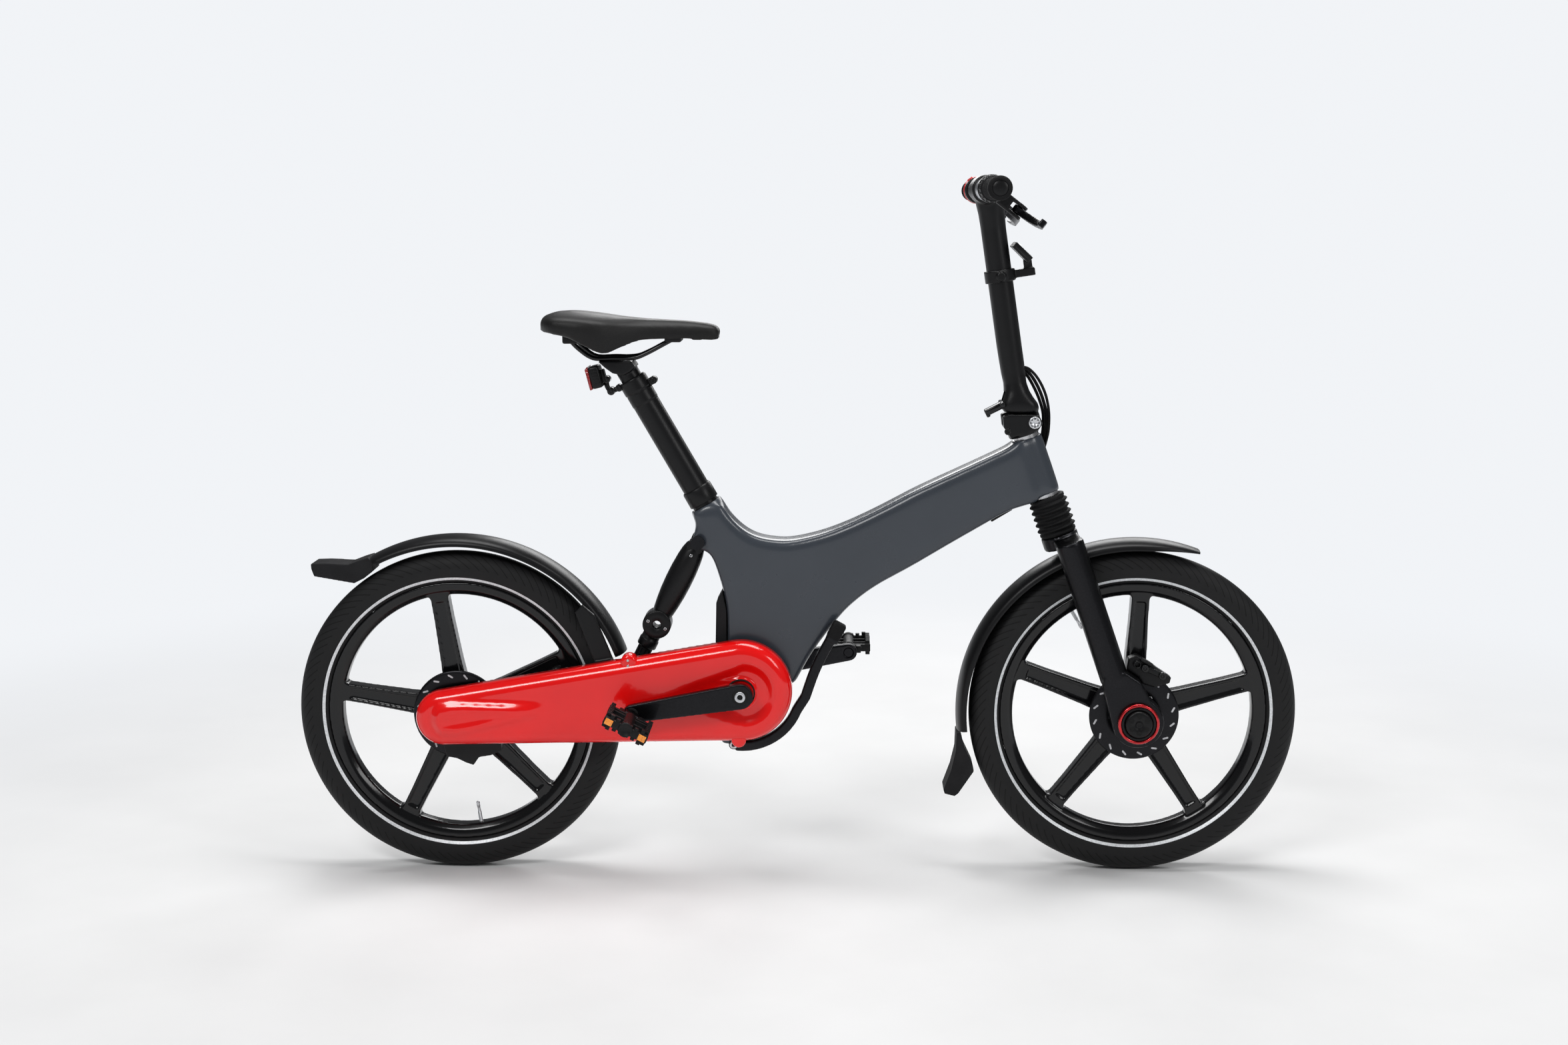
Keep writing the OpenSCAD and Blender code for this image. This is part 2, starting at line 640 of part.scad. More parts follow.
module crank_left() color(black) difference() {
    slab(-crank_in_y, -crank_out_y) polygon(belt([crank_x, crank_z], 20, far_tip, 14));
    pin(far_tip[0], far_tip[1], pedal_d + 2 * fit, -crank_in_y - 1, -crank_out_y + 1);
}

module chainring() color(silver) difference() {
    toothed(crank_x, crank_z, ring_r, ring_teeth);
    pin(crank_x, crank_z, spindle_d, -80, -40);
    for (k = [0 : 4]) pin(crank_x + 40 * cos(72 * k), crank_z + 40 * sin(72 * k), 28, -80, -40);
}

fold_in = 14.5;                  // folding axis, outward from the face of the crank
pedal_half = 36;
pedal_t = 26;

// Places its children at a pedal, with local X along the pedal and local Y outward
module on_pedal(side) {
    tip = side < 0 ? crank_tip : far_tip;
    translate([tip[0], -side * crank_out_y, tip[1]])
        rotate([0, side < 0 ? 27 : 0, 0]) mirror([0, side < 0 ? 1 : 0, 0]) children();
}

module pedal_spindle() {
    rotate([90, 0, 0]) translate([0, 0, -1]) cylinder(d = pedal_d, h = 15);
    difference() {
        union() {
            translate([-11, 1, -6]) cube([22, fold_in - 1, 12]);
            translate([-11, fold_in, 0]) rotate([0, 90, 0]) cylinder(d = 12.6, h = 22);
        }
        translate([-12, fold_in, 0]) rotate([0, 90, 0]) cylinder(d = 6, h = 24);
    }
    translate([-21, fold_in, 0]) rotate([0, 90, 0]) cylinder(d = 6, h = 42);
}

module pedal() difference() {
    union() {
        for (x = [-pedal_half, pedal_half - 8]) translate([x, 21, -pedal_t / 2]) cube([8, 73, pedal_t]);
        for (x = [-21, 11.5]) translate([x, fold_in - 6, -6]) cube([9.5, 15, 12]);
        translate([-pedal_half, 21, -6]) cube([2 * pedal_half, 6, 12]);
        translate([-pedal_half, 86, -pedal_t / 2]) cube([2 * pedal_half, 8, pedal_t]);
        translate([0, 24, 0]) rotate([-90, 0, 0]) cylinder(d = 20, h = 66);
        for (z = [-pedal_t / 2, pedal_t / 2 - 4]) translate([-pedal_half, 50, z])
            cube([2 * pedal_half, 6, 4]);
    }
    translate([-22, fold_in, 0]) rotate([0, 90, 0]) cylinder(d = 6 + 2 * fit, h = 44);
}

module pedal_spindle_right() color(silver) on_pedal(-1) pedal_spindle();
module pedal_spindle_left() color(silver) on_pedal(1) pedal_spindle();
module pedal_right() color(black) on_pedal(-1) pedal();
module pedal_left() color(black) on_pedal(1) pedal();

// ---- seat ----
outer_lo = -110;                 // ends of the two seat posts, along their axis
outer_hi = 226;
inner_lo = 30;
inner_hi = 252;
light_y = 24;

module seatpost_outer() color(black) on_seat() difference() {
    union() {
        translate([0, 0, outer_lo]) cylinder(d = post_d, h = outer_hi - outer_lo);
        translate([0, 0, outer_hi - 26]) cylinder(d = post_d + 10, h = 26);
        translate([18, -13, outer_hi - 25]) cube([17, 26, 22]);
    }
    translate([0, 0, outer_lo - 1]) cylinder(d = inner_post_d + 2 * fit, h = 400);
    translate([10, -1, outer_hi - 26]) cube([30, 2, 28]);
    translate([29, -14, outer_hi - 14]) rotate([-90, 0, 0]) cylinder(d = 6, h = 28);
}

module seatpost_inner() color(black) {
    on_seat() difference() {
        translate([0, 0, inner_lo]) cylinder(d = inner_post_d, h = inner_hi - inner_lo);
        translate([0, 0, inner_lo - 1]) cylinder(d = inner_post_d - 6, h = 200);
    }
    slab(-28, 28) polygon([[-301, 814.9], [-249, 814.9], [-243, 806], [-252, 798], [-262, 793], [-278, 796],
        [-289, 804]]);
}

saddle_x = [-390, -384, -372, -350, -318, -288, -258, -225, -190, -155, -130, -117, -111];
saddle_w = [22, 46, 63, 74, 78, 73, 56, 41, 31, 25, 21, 15, 7];
saddle_top = [869, 879, 887, 891.5, 887.5, 883, 879.5, 876.5, 876, 875, 870, 861, 853];
saddle_edge = [865, 866, 867, 868, 867, 866, 864, 862, 861, 860, 858, 856, 851];
saddle_bottom = [861, 858, 855, 850, 840, 828, 838, 846, 848, 845, 845, 846, 848];

// Padded skin above the saddle's edge line
module saddle_cushion() color(black) {
    m = 8;
    n = len(saddle_x);
    points = [for (i = [0 : n - 1], k = [0 : m]) [saddle_x[i], saddle_w[i] * cos(180 * k / m),
        saddle_edge[i] + (saddle_top[i] - saddle_edge[i]) * pow(sin(180 * k / m), 0.6)]];
    side = [for (i = [0 : n - 2], k = [0 : m], half = [0, 1])
        let (a = i * (m + 1) + k, b = i * (m + 1) + (k + 1) % (m + 1), up = m + 1)
            half == 0 ? [a, b, b + up] : [a, b + up, a + up]];
    polyhedron(points, concat(side,
        [[for (k = [m : -1 : 0]) k], [for (k = [0 : m]) (n - 1) * (m + 1) + k]]));
}

rail = [[-338, 846], [-321, 824], [-306, 819], [-246, 819], [-233, 822], [-205, 836], [-186, 852]];

module saddle_base() color(black) {
    last = len(saddle_x) - 1;
    difference() {
        intersection() {
            slab(-90, 90) polygon(concat([for (i = [0 : last]) [saddle_x[i], saddle_edge[i]]],
                [for (i = [last : -1 : 0]) [saddle_x[i], saddle_bottom[i]]]));
            translate([0, 0, 780]) linear_extrude(120)
                polygon(concat([for (i = [0 : last]) [saddle_x[i], saddle_w[i]]],
                    [for (i = [last : -1 : 0]) [saddle_x[i], -saddle_w[i]]]));
        }
        slab(-46, 46) polygon([[-322, 800], [-322, 856], [-192, 852], [-178, 838], [-230, 800]]);
    }
    for (y = [-22, 22]) slab(y - 3.5, y + 3.5) polygon(strip(smooth(rail, 3), 3.5, 3.5));
}

module rear_light() color(black) difference() {
    union() {
        slab(-light_y, light_y) polygon([[-318, 806], [-308, 808], [-301, 795], [-291, 787], [-291, 777],
            [-310, 770]]);
        slab(-6, 6) polygon([[-291, 786], [-291, 777], [-273, 764], [-266, 776]]);
    }
    on_seat() translate([0, 0, outer_hi - 60]) cylinder(d = post_d + 10, h = 70);
}

module rear_light_lens() color(red) slab(-light_y + 2, light_y - 2)
    polygon([[-322, 801], [-318, 806], [-310, 770], [-314, 769]]);

// ---- shock ----
shock_len = norm(shock_lo - shock_top);
lock_at = 150;                   // lock ring, along the shock from its top pin
collar_lo = 192;

// Places its children at the top pin of the shock, with local Z along it to the lower pin
module on_shock() translate([shock_top[0], 0, shock_top[1]])
    rotate([0, 180 + atan2(shock_top[0] - shock_lo[0], shock_top[1] - shock_lo[1]), 0]) children();

module shock_pin(at, d, half) translate([0, half, at]) rotate([90, 0, 0]) cylinder(d = d, h = 2 * half);

module shock_body() color(black) on_shock() difference() {
    union() {
        shock_pin(0, 24, 13);
        translate([-9, -11, 6]) cube([18, 22, 20]);
        translate([0, 0, 20]) cylinder(d1 = 34, d2 = 42, h = 20);
        translate([0, 0, 40]) cylinder(d = 42, h = 55);
        translate([0, 0, 95]) cylinder(d1 = 42, d2 = 31, h = 42);
        shock_pin(lock_at, 45, 18);
        translate([0, 0, 160]) cylinder(d = 30, h = collar_lo - 160);
    }
    shock_pin(0, 10 + 2 * fit, 20);
    shock_pin(lock_at, 13.2, 20);
    translate([0, 0, 170]) cylinder(d = 24 + 2 * fit, h = 60);
}

module shock_rod() color(rubber) on_shock() difference() {
    union() {
        translate([0, 0, 181]) cylinder(d = 24, h = shock_len - 190);
        shock_pin(shock_len, 22, 12);
    }
    shock_pin(shock_len, 12, 20);
}

frame();
battery_pack();
cable_port_cover();
frame_bearings();
rear_cover();
seat_sleeve();
pivot_pins();
kickstand();
steerer();
stem_hinge_pin();
stem_mast();
reflector_bracket();
reflector_lens();
handlebar();
grips();
brake_perches();
latch_lever();
gear_shifter();
brake_lever_right();
brake_lever_left();
boost_button();
cable_loop();
fork();
front_axle();
axle_ring();
front_caliper();
front_fender();
front_mudflap();
bellows();
front_wheel();
front_tyre();
front_hub();
front_brake_disc();
chaincase();
chaincase_back();
chain();
rear_axle();
rear_caliper();
rear_fender();
rear_mudflap();
rear_wheel();
rear_tyre();
rear_hub();
rear_brake_disc();
rear_sprocket();
crank_right();
crank_left();
chainring();
pedal_spindle_right();
pedal_spindle_left();
pedal_right();
pedal_left();
seatpost_outer();
seatpost_inner();
saddle_base();
saddle_cushion();
rear_light();
rear_light_lens();
shock_body();
shock_rod();
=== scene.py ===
"""Folding bicycle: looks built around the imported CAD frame, in metres."""
import json
import math

import bmesh
import bpy
import numpy as np
from mathutils import Euler, Matrix, Vector


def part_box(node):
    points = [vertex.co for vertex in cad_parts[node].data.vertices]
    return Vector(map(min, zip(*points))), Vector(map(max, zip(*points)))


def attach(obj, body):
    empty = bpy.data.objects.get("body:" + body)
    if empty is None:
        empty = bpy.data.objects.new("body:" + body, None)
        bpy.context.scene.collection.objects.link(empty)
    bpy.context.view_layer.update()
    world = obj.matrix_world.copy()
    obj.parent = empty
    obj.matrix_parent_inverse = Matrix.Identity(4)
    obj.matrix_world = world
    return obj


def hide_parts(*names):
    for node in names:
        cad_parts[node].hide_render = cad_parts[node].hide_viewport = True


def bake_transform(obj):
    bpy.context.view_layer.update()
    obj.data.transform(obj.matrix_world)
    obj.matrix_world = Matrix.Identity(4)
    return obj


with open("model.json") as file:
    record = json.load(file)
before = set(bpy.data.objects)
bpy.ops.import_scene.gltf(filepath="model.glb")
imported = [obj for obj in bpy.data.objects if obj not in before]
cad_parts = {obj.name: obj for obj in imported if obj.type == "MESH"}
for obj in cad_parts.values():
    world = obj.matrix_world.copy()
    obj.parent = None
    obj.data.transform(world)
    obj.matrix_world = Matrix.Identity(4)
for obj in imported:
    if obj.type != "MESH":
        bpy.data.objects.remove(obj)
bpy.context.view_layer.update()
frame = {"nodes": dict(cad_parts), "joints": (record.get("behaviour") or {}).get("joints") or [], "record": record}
NODES = frame["nodes"]
BODY_OF = {node: body for body, nodes in frame["record"]["behaviour"]["bodies"].items() for node in nodes}
JOINTS = {joint["name"]: joint for joint in frame["joints"]}


# ---- places read from the frame ----
def joint_place(name):
    return Vector(JOINTS[name]["pos_m"])


def centre(node):
    low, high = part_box(node)
    return (low + high) / 2


FRONT_AXLE = joint_place("front_wheel_spin")
REAR_AXLE = joint_place("rear_wheel_spin")
CRANK = joint_place("crank_spin")
STEER_AXIS = Vector(JOINTS["steering"]["axis"])
STEER_POINT = joint_place("steering")
STEER_TURN = Vector((0, 0, 1)).rotation_difference(STEER_AXIS).to_matrix().to_4x4()
SHOCK_TOP = joint_place("shock_tilt")
SHOCK_AXIS = -Vector(JOINTS["shock_stroke"]["axis"])
SHOCK_TURN = Vector((0, 0, 1)).rotation_difference(SHOCK_AXIS).to_matrix().to_4x4()
ALONG_Y_UP = Matrix.Rotation(math.radians(-90), 4, "X")
ALONG_Y_DOWN = Matrix.Rotation(math.radians(90), 4, "X")
NEAR_SIDE = (0, -1, 0)
CORE = 0.00001      # radius at which a solid turned profile meets its axis


# ---- camera, light and floor ----
def add_object(name, data):
    made = bpy.data.objects.new(name, data)
    bpy.context.scene.collection.objects.link(made)
    return made


def add_camera():
    data = bpy.data.cameras.new("camera")
    data.lens = 45.71
    data.sensor_width = 36
    data.clip_end = 50
    camera = add_object("camera", data)
    camera.location = (0.0724, -3.0801, 1.0538)
    camera.rotation_euler = Euler((math.radians(80.884), math.radians(0.25), math.radians(1.6)))
    bpy.context.scene.camera = camera
    bpy.context.scene.view_settings.view_transform = "Standard"


def area_light(name, place, aim, size, power):
    data = bpy.data.lights.new(name, "AREA")
    data.shape = "RECTANGLE"
    data.size, data.size_y = size
    data.energy = power
    light = add_object(name, data)
    light.location = place
    light.rotation_euler = (Vector(aim) - Vector(place)).to_track_quat("-Z", "Y").to_euler()


def add_world():
    """White studio: the camera sees white, the object is lit by a dimmer surround."""
    world = bpy.data.worlds.new("studio")
    bpy.context.scene.world = world
    world.use_nodes = True
    nodes, links = world.node_tree.nodes, world.node_tree.links
    back = nodes["Background"]
    back.inputs["Color"].default_value = (0.95, 0.97, 1.0, 1)
    path = nodes.new("ShaderNodeLightPath")
    level = nodes.new("ShaderNodeMapRange")
    links.new(path.outputs["Is Camera Ray"], level.inputs["Value"])
    level.inputs["To Min"].default_value = 0.15
    level.inputs["To Max"].default_value = 0.93
    links.new(level.outputs["Result"], back.inputs["Strength"])


# ---- materials: each is a node tree of its own ----
class Tree:
    """A material under construction."""

    def __init__(self, name):
        self.material = bpy.data.materials.new(name)
        self.material.use_nodes = True
        self.nodes = self.material.node_tree.nodes
        self.links = self.material.node_tree.links
        self.shader = self.nodes["Principled BSDF"]

    def add(self, kind, **values):
        node = self.nodes.new(kind)
        for key, value in values.items():
            if key in node.inputs:
                node.inputs[key].default_value = value
            else:
                setattr(node, key, value)
        return node

    def link(self, source, target):
        self.links.new(source, target)

    def math(self, operation, a, b=None, c=None):
        node = self.add("ShaderNodeMath", operation=operation)
        for index, value in enumerate((a, b, c)):
            if value is None:
                continue
            if isinstance(value, (int, float)):
                node.inputs[index].default_value = value
            else:
                self.link(value, node.inputs[index])
        return node.outputs[0]

    def coords(self):
        return self.add("ShaderNodeTexCoord").outputs["Object"]

    def noise(self, scale, detail=3, rough=0.55):
        node = self.add("ShaderNodeTexNoise", Scale=scale, Detail=detail, Roughness=rough)
        self.link(self.coords(), node.inputs["Vector"])
        return node.outputs["Fac"]

    def cells(self, scale):
        node = self.add("ShaderNodeTexVoronoi", Scale=scale)
        self.link(self.coords(), node.inputs["Vector"])
        return node.outputs["Distance"]

    def ramp(self, fac, low, high, at=(0.3, 0.7)):
        node = self.add("ShaderNodeValToRGB")
        self.link(fac, node.inputs["Fac"])
        node.color_ramp.elements[0].position = at[0]
        node.color_ramp.elements[0].color = (*low, 1)
        node.color_ramp.elements[1].position = at[1]
        node.color_ramp.elements[1].color = (*high, 1)
        return node.outputs["Color"]

    def spread(self, fac, low, high):
        node = self.add("ShaderNodeMapRange")
        self.link(fac, node.inputs["Value"])
        node.inputs["To Min"].default_value = low
        node.inputs["To Max"].default_value = high
        return node.outputs["Result"]

    def bump(self, height, strength, distance, before=None):
        node = self.add("ShaderNodeBump", Strength=strength, Distance=distance)
        self.link(height, node.inputs["Height"])
        if before is not None:
            self.link(before, node.inputs["Normal"])
        return node.outputs["Normal"]

    def finish(self, color=None, rough=None, normal=None, **values):
        if color is not None:
            self.link(color, self.shader.inputs["Base Color"])
        if rough is not None:
            self.link(rough, self.shader.inputs["Roughness"])
        if normal is not None:
            self.link(normal, self.shader.inputs["Normal"])
        for key, value in values.items():
            self.shader.inputs[key.replace("_", " ")].default_value = value
        return self.material


def shade(color, factor):
    return tuple(min(1.0, channel * factor) for channel in color)


def paint(name, color, rough, coat, coat_rough=0.06):
    """Sprayed and lacquered paint: faint orange peel and faint colour drift."""
    tree = Tree(name)
    tone = tree.ramp(tree.noise(7, 4), shade(color, 0.93), shade(color, 1.06))
    peel = tree.bump(tree.noise(420, 2), 0.02, 0.0004)
    dull = tree.spread(tree.noise(22, 5), rough * 0.85, rough * 1.2)
    return tree.finish(tone, dull, peel, Coat_Weight=coat, Coat_Roughness=coat_rough,
                       Specular_IOR_Level=0.3)


def plastic(name, color, rough, grain, depth):
    """Moulded plastic with a fine spark-eroded grain and slight scuffing."""
    tree = Tree(name)
    tone = tree.ramp(tree.noise(18, 4), shade(color, 0.85), shade(color, 1.2))
    normal = tree.bump(tree.cells(grain), depth, 0.0003)
    dull = tree.spread(tree.noise(60, 5), rough * 0.85, min(1.0, rough * 1.15))
    return tree.finish(tone, dull, normal, Specular_IOR_Level=0.24)


def rubber(name, color, rough, grain):
    tree = Tree(name)
    tone = tree.ramp(tree.noise(30, 5), shade(color, 0.8), shade(color, 1.25))
    fine = tree.bump(tree.cells(grain * 4), 0.2, 0.0003)
    normal = tree.bump(tree.noise(grain, 4), 0.25, 0.0005, before=fine)
    dull = tree.spread(tree.noise(90, 4), rough * 0.9, min(1.0, rough * 1.1))
    return tree.finish(tone, dull, normal, Specular_IOR_Level=0.16)


def metal(name, color, rough, coat=0.0):
    """Machined or anodised metal with a fine mottling."""
    tree = Tree(name)
    mottle = tree.noise(350, 4, 0.5)
    tone = tree.ramp(mottle, shade(color, 0.88), shade(color, 1.08))
    dull = tree.spread(tree.noise(40, 4), rough * 0.8, rough * 1.3)
    normal = tree.bump(mottle, 0.08, 0.0003)
    return tree.finish(tone, dull, normal, Metallic=1.0, Coat_Weight=coat)


def leather(name, color):
    """Saddle cover: fine pebbled grain over soft dimples."""
    tree = Tree(name)
    pebbles = tree.cells(950)
    tone = tree.ramp(pebbles, shade(color, 0.7), shade(color, 1.4), (0.1, 0.6))
    fine = tree.bump(pebbles, 0.35, 0.0004)
    normal = tree.bump(tree.noise(55, 4), 0.15, 0.001, before=fine)
    dull = tree.spread(tree.noise(35, 5), 0.4, 0.52)
    return tree.finish(tone, dull, normal, Specular_IOR_Level=0.26)


def lens(name, color, clear=0.0):
    """Reflector or lamp lens with a field of small prisms."""
    tree = Tree(name)
    prisms = tree.cells(330)
    tone = tree.ramp(prisms, shade(color, 0.75), shade(color, 1.15), (0.1, 0.5))
    normal = tree.bump(prisms, 0.8, 0.0012)
    return tree.finish(tone, None, normal, Roughness=0.12, Coat_Weight=0.7, Coat_Roughness=0.03,
                       Transmission_Weight=clear)


def tyre_material(name):
    """Tread of slanted cuts over the crown, plain sidewall below, from the angle round the axle."""
    tree = Tree(name)
    split = tree.add("ShaderNodeSeparateXYZ")
    tree.link(tree.coords(), split.inputs[0])
    x, y, z = split.outputs
    angle = tree.math("ARCTAN2", z, x)
    reach = tree.math("ABSOLUTE", y)
    radius = tree.math("SQRT", tree.math("ADD", tree.math("POWER", x, 2.0), tree.math("POWER", z, 2.0)))
    around = tree.math("MULTIPLY_ADD", radius, -80.0, tree.math("MULTIPLY", angle, 96 / math.tau))
    slant = tree.math("MULTIPLY_ADD", reach, 45.0, around)
    saw = tree.math("PINGPONG", slant, 0.5)
    cut = tree.math("LESS_THAN", saw, 0.065)
    crown = tree.math("GREATER_THAN", radius, 0.2325)
    ribs = tree.math("LESS_THAN", tree.math("PINGPONG", tree.math("MULTIPLY", reach, 95.0), 0.5), 0.06)
    middle = tree.math("LESS_THAN", reach, 0.012)
    groove = tree.math("MULTIPLY", crown, tree.math("MAXIMUM", cut, tree.math("MULTIPLY", ribs, middle)))
    low = tree.math("SUBTRACT", 1.0, groove)
    speck = tree.bump(tree.noise(900, 3), 0.15, 0.0003)
    normal = tree.bump(low, 0.9, 0.0016, before=speck)
    # The tread cuts are coloured near-black: painted shade in the grooves.
    tone = tree.ramp(groove, (0.011, 0.011, 0.0115), (0.0012, 0.0012, 0.0012), (0.2, 0.8))
    dull = tree.spread(tree.noise(50, 5), 0.5, 0.68)
    return tree.finish(tone, dull, normal, Specular_IOR_Level=0.22)


# ---- mesh building ----
def new_mesh(name, points, faces, material, body, smooth=True, place=(0, 0, 0)):
    mesh = bpy.data.meshes.new(name)
    mesh.from_pydata([tuple(point) for point in points], [], faces)
    piece = add_object(name, mesh)
    piece.location = place
    tidy_normals(mesh)
    if smooth:
        mesh.shade_smooth()
    mesh.materials.append(material)
    if body:
        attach(piece, body)
    return piece


def tidy_normals(mesh):
    work = bmesh.new()
    work.from_mesh(mesh)
    bmesh.ops.remove_doubles(work, verts=work.verts, dist=1e-6)
    bmesh.ops.recalc_face_normals(work, faces=work.faces)
    work.to_mesh(mesh)
    work.free()


def ring_faces(rows, count, capped=True):
    """Faces of a skin through rows + 1 closed rings of count points, with or without its two ends."""
    faces = []
    for i in range(rows):
        a, b = i * count, (i + 1) * count
        for k in range(count):
            m = (k + 1) % count
            faces.append((a + k, a + m, b + m, b + k))
    if capped:
        faces.append(tuple(range(count)))
        faces.append(tuple(range(rows * count, (rows + 1) * count)))
    return faces


def lathe(profile, segments, closed, turn, shift=(0, 0, 0)):
    """Points and faces of a profile of (radius, along) pairs turned round local Z."""
    points = []
    for i in range(segments):
        angle = math.tau * i / segments
        for radius, along in profile:
            spot = Vector((radius * math.cos(angle), radius * math.sin(angle), along))
            points.append(turn @ spot + Vector(shift))
    rows = len(profile)
    faces = []
    for i in range(segments):
        a, b = i * rows, ((i + 1) % segments) * rows
        for k in range(rows if closed else rows - 1):
            m = (k + 1) % rows
            faces.append((a + k, b + k, b + m, a + m))
    return points, faces


def round_ends(radius, low, high, edge):
    """Profile of a solid round bar with rounded edges."""
    arc = [math.radians(15 * k) for k in range(7)]
    start = [(radius - edge + edge * math.sin(a), low + edge - edge * math.cos(a)) for a in arc]
    end = [(radius - edge + edge * math.cos(a), high - edge + edge * math.sin(a)) for a in arc]
    return [(CORE, low)] + start + end + [(CORE, high)]


def turned(name, profile, material, body, at, turn, segments, closed=False):
    points, faces = lathe(profile, segments, closed, turn, at)
    return new_mesh(name, points, faces, material, body)


def y_disc(name, at, radius, low, high, edge, material, body, segments):
    """Round piece along Y with rounded edges; low and high are offsets along Y from at."""
    return turned(name, round_ends(radius, low, high, edge), material, body, at, ALONG_Y_UP, segments)


def hand(side):
    return "left" if side > 0 else "right"


def apply_modifiers(piece):
    depsgraph = bpy.context.evaluated_depsgraph_get()
    mesh = bpy.data.meshes.new_from_object(piece.evaluated_get(depsgraph))
    piece.modifiers.clear()
    old = piece.data
    piece.data = mesh
    bpy.data.meshes.remove(old)


def add_remesh(piece, voxel):
    remesh = piece.modifiers.new("remesh", "REMESH")
    remesh.mode = "VOXEL"
    remesh.voxel_size = voxel


def add_smooth(piece, passes):
    smooth = piece.modifiers.new("smooth", "SMOOTH")
    smooth.factor = 0.5
    smooth.iterations = passes


def softened(node, material, voxel, passes):
    """A copy of a CAD node with every edge rounded, which stands for that node."""
    piece = add_object(node + "_skin", NODES[node].data.copy())
    add_remesh(piece, voxel)
    add_smooth(piece, passes)
    apply_modifiers(piece)
    piece.data.shade_smooth()
    finish_copy(piece, node, material)


def bevelled(node, material, width):
    """A copy of a CAD node with its sharp edges bevelled, which stands for that node."""
    sharp = math.radians(35)
    mesh = NODES[node].data.copy()
    work = bmesh.new()
    work.from_mesh(mesh)
    bmesh.ops.remove_doubles(work, verts=work.verts, dist=1e-6)
    bmesh.ops.dissolve_limit(work, angle_limit=math.radians(1.5), verts=work.verts, edges=work.edges)
    work.to_mesh(mesh)
    work.free()
    piece = add_object(node + "_skin", mesh)
    bevel = piece.modifiers.new("bevel", "BEVEL")
    bevel.width = width
    bevel.segments = 3
    bevel.limit_method = "ANGLE"
    bevel.angle_limit = sharp
    bevel.harden_normals = True
    apply_modifiers(piece)
    piece.data.shade_smooth()
    piece.data.set_sharp_from_angle(angle=sharp)
    finish_copy(piece, node, material)


def finish_copy(piece, node, material):
    piece.data.materials.clear()
    piece.data.materials.append(material)
    for polygon in piece.data.polygons:
        polygon.material_index = 0
    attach(piece, BODY_OF[node])
    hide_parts(node)


def tube(name, points, radius, material, body, sides, smooth_steps=6):
    """Round tube along a smooth curve through the points."""
    path = curve_through([Vector(point) for point in points], smooth_steps)
    rings = []
    side = Vector((0, 1, 0))
    for i, spot in enumerate(path):
        ahead = (path[min(i + 1, len(path) - 1)] - path[max(i - 1, 0)]).normalized()
        if abs(ahead.dot(side)) > 0.95:
            side = Vector((1, 0, 0))
        across = ahead.cross(side).normalized()
        side = across.cross(ahead).normalized()
        for k in range(sides):
            angle = math.tau * k / sides
            rings.append(spot + radius * (math.cos(angle) * across + math.sin(angle) * side))
    return new_mesh(name, rings, ring_faces(len(path) - 1, sides), material, body)


def between(a, b, c, d, t):
    """Catmull-Rom value between b and c, at t from 0 to 1."""
    return 0.5 * (2 * b + (c - a) * t + (2 * a - 5 * b + 4 * c - d) * t * t
                  + (3 * b - a - 3 * c + d) * t ** 3)


def curve_through(points, steps):
    """Catmull-Rom curve through the points."""
    path = []
    last = len(points) - 1
    for i in range(last):
        a, b, c, d = points[max(i - 1, 0)], points[i], points[i + 1], points[min(i + 2, last)]
        path.extend(between(a, b, c, d, k / steps) for k in range(steps))
    path.append(points[last])
    return path


def block(name, low, high, edge, material, body, turn=None, at=(0, 0, 0)):
    """Box with rounded edges."""
    work = bmesh.new()
    bmesh.ops.create_cube(work, size=1)
    size = Vector(high) - Vector(low)
    middle = (Vector(high) + Vector(low)) / 2
    for vert in work.verts:
        vert.co = Vector([vert.co[k] * size[k] + middle[k] for k in range(3)])
    bmesh.ops.bevel(work, geom=list(work.edges), offset=edge, segments=3, profile=0.5, affect="EDGES")
    if turn:
        bmesh.ops.transform(work, matrix=turn, verts=work.verts)
    bmesh.ops.translate(work, vec=Vector(at), verts=work.verts)
    mesh = bpy.data.meshes.new(name)
    work.to_mesh(mesh)
    work.free()
    piece = add_object(name, mesh)
    mesh.shade_smooth()
    mesh.set_sharp_from_angle(angle=math.radians(50))
    mesh.materials.append(material)
    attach(piece, body)
    return piece


# ---- the red chaincase ----
CASE_FRONT = Vector((CRANK.x, CRANK.z))
CASE_REAR = Vector((REAR_AXLE.x - 0.017, REAR_AXLE.z + 0.001))
CASE_FRONT_R = 0.080
CASE_REAR_R = 0.044


def belt_outline(front_r, rear_r, count):
    """Points round a belt of two circles, the same number for any radii."""
    along = CASE_REAR - CASE_FRONT
    heading = math.atan2(along.y, along.x)
    tilt = math.acos((CASE_FRONT_R - CASE_REAR_R) / along.length)
    outline = []
    for i in range(count):
        angle = heading + tilt + (math.tau - 2 * tilt) * i / (count - 1)
        outline.append(CASE_FRONT + front_r * Vector((math.cos(angle), math.sin(angle))))
    for i in range(1, count // 3):
        t = i / (count // 3)
        angle = heading - tilt
        side = Vector((math.cos(angle), math.sin(angle)))
        outline.append((CASE_FRONT + front_r * side).lerp(CASE_REAR + rear_r * side, t))
    for i in range(count):
        angle = heading - tilt + 2 * tilt * i / (count - 1)
        outline.append(CASE_REAR + rear_r * Vector((math.cos(angle), math.sin(angle))))
    for i in range(1, count // 3):
        t = i / (count // 3)
        angle = heading + tilt
        side = Vector((math.cos(angle), math.sin(angle)))
        outline.append((CASE_REAR + rear_r * side).lerp(CASE_FRONT + front_r * side, t))
    return outline


def step_between(value, low, high):
    t = min(1.0, max(0.0, (value - low) / (high - low)))
    return t * t * (3 - 2 * t)


def capsule_gap(point, a, b, ra, rb):
    """Distance outside a capsule from a to b whose radius runs from ra to rb."""
    along = b - a
    t = min(1.0, max(0.0, (point - a).dot(along) / along.length_squared))
    return (point - (a + along * t)).length - (ra + (rb - ra) * t)


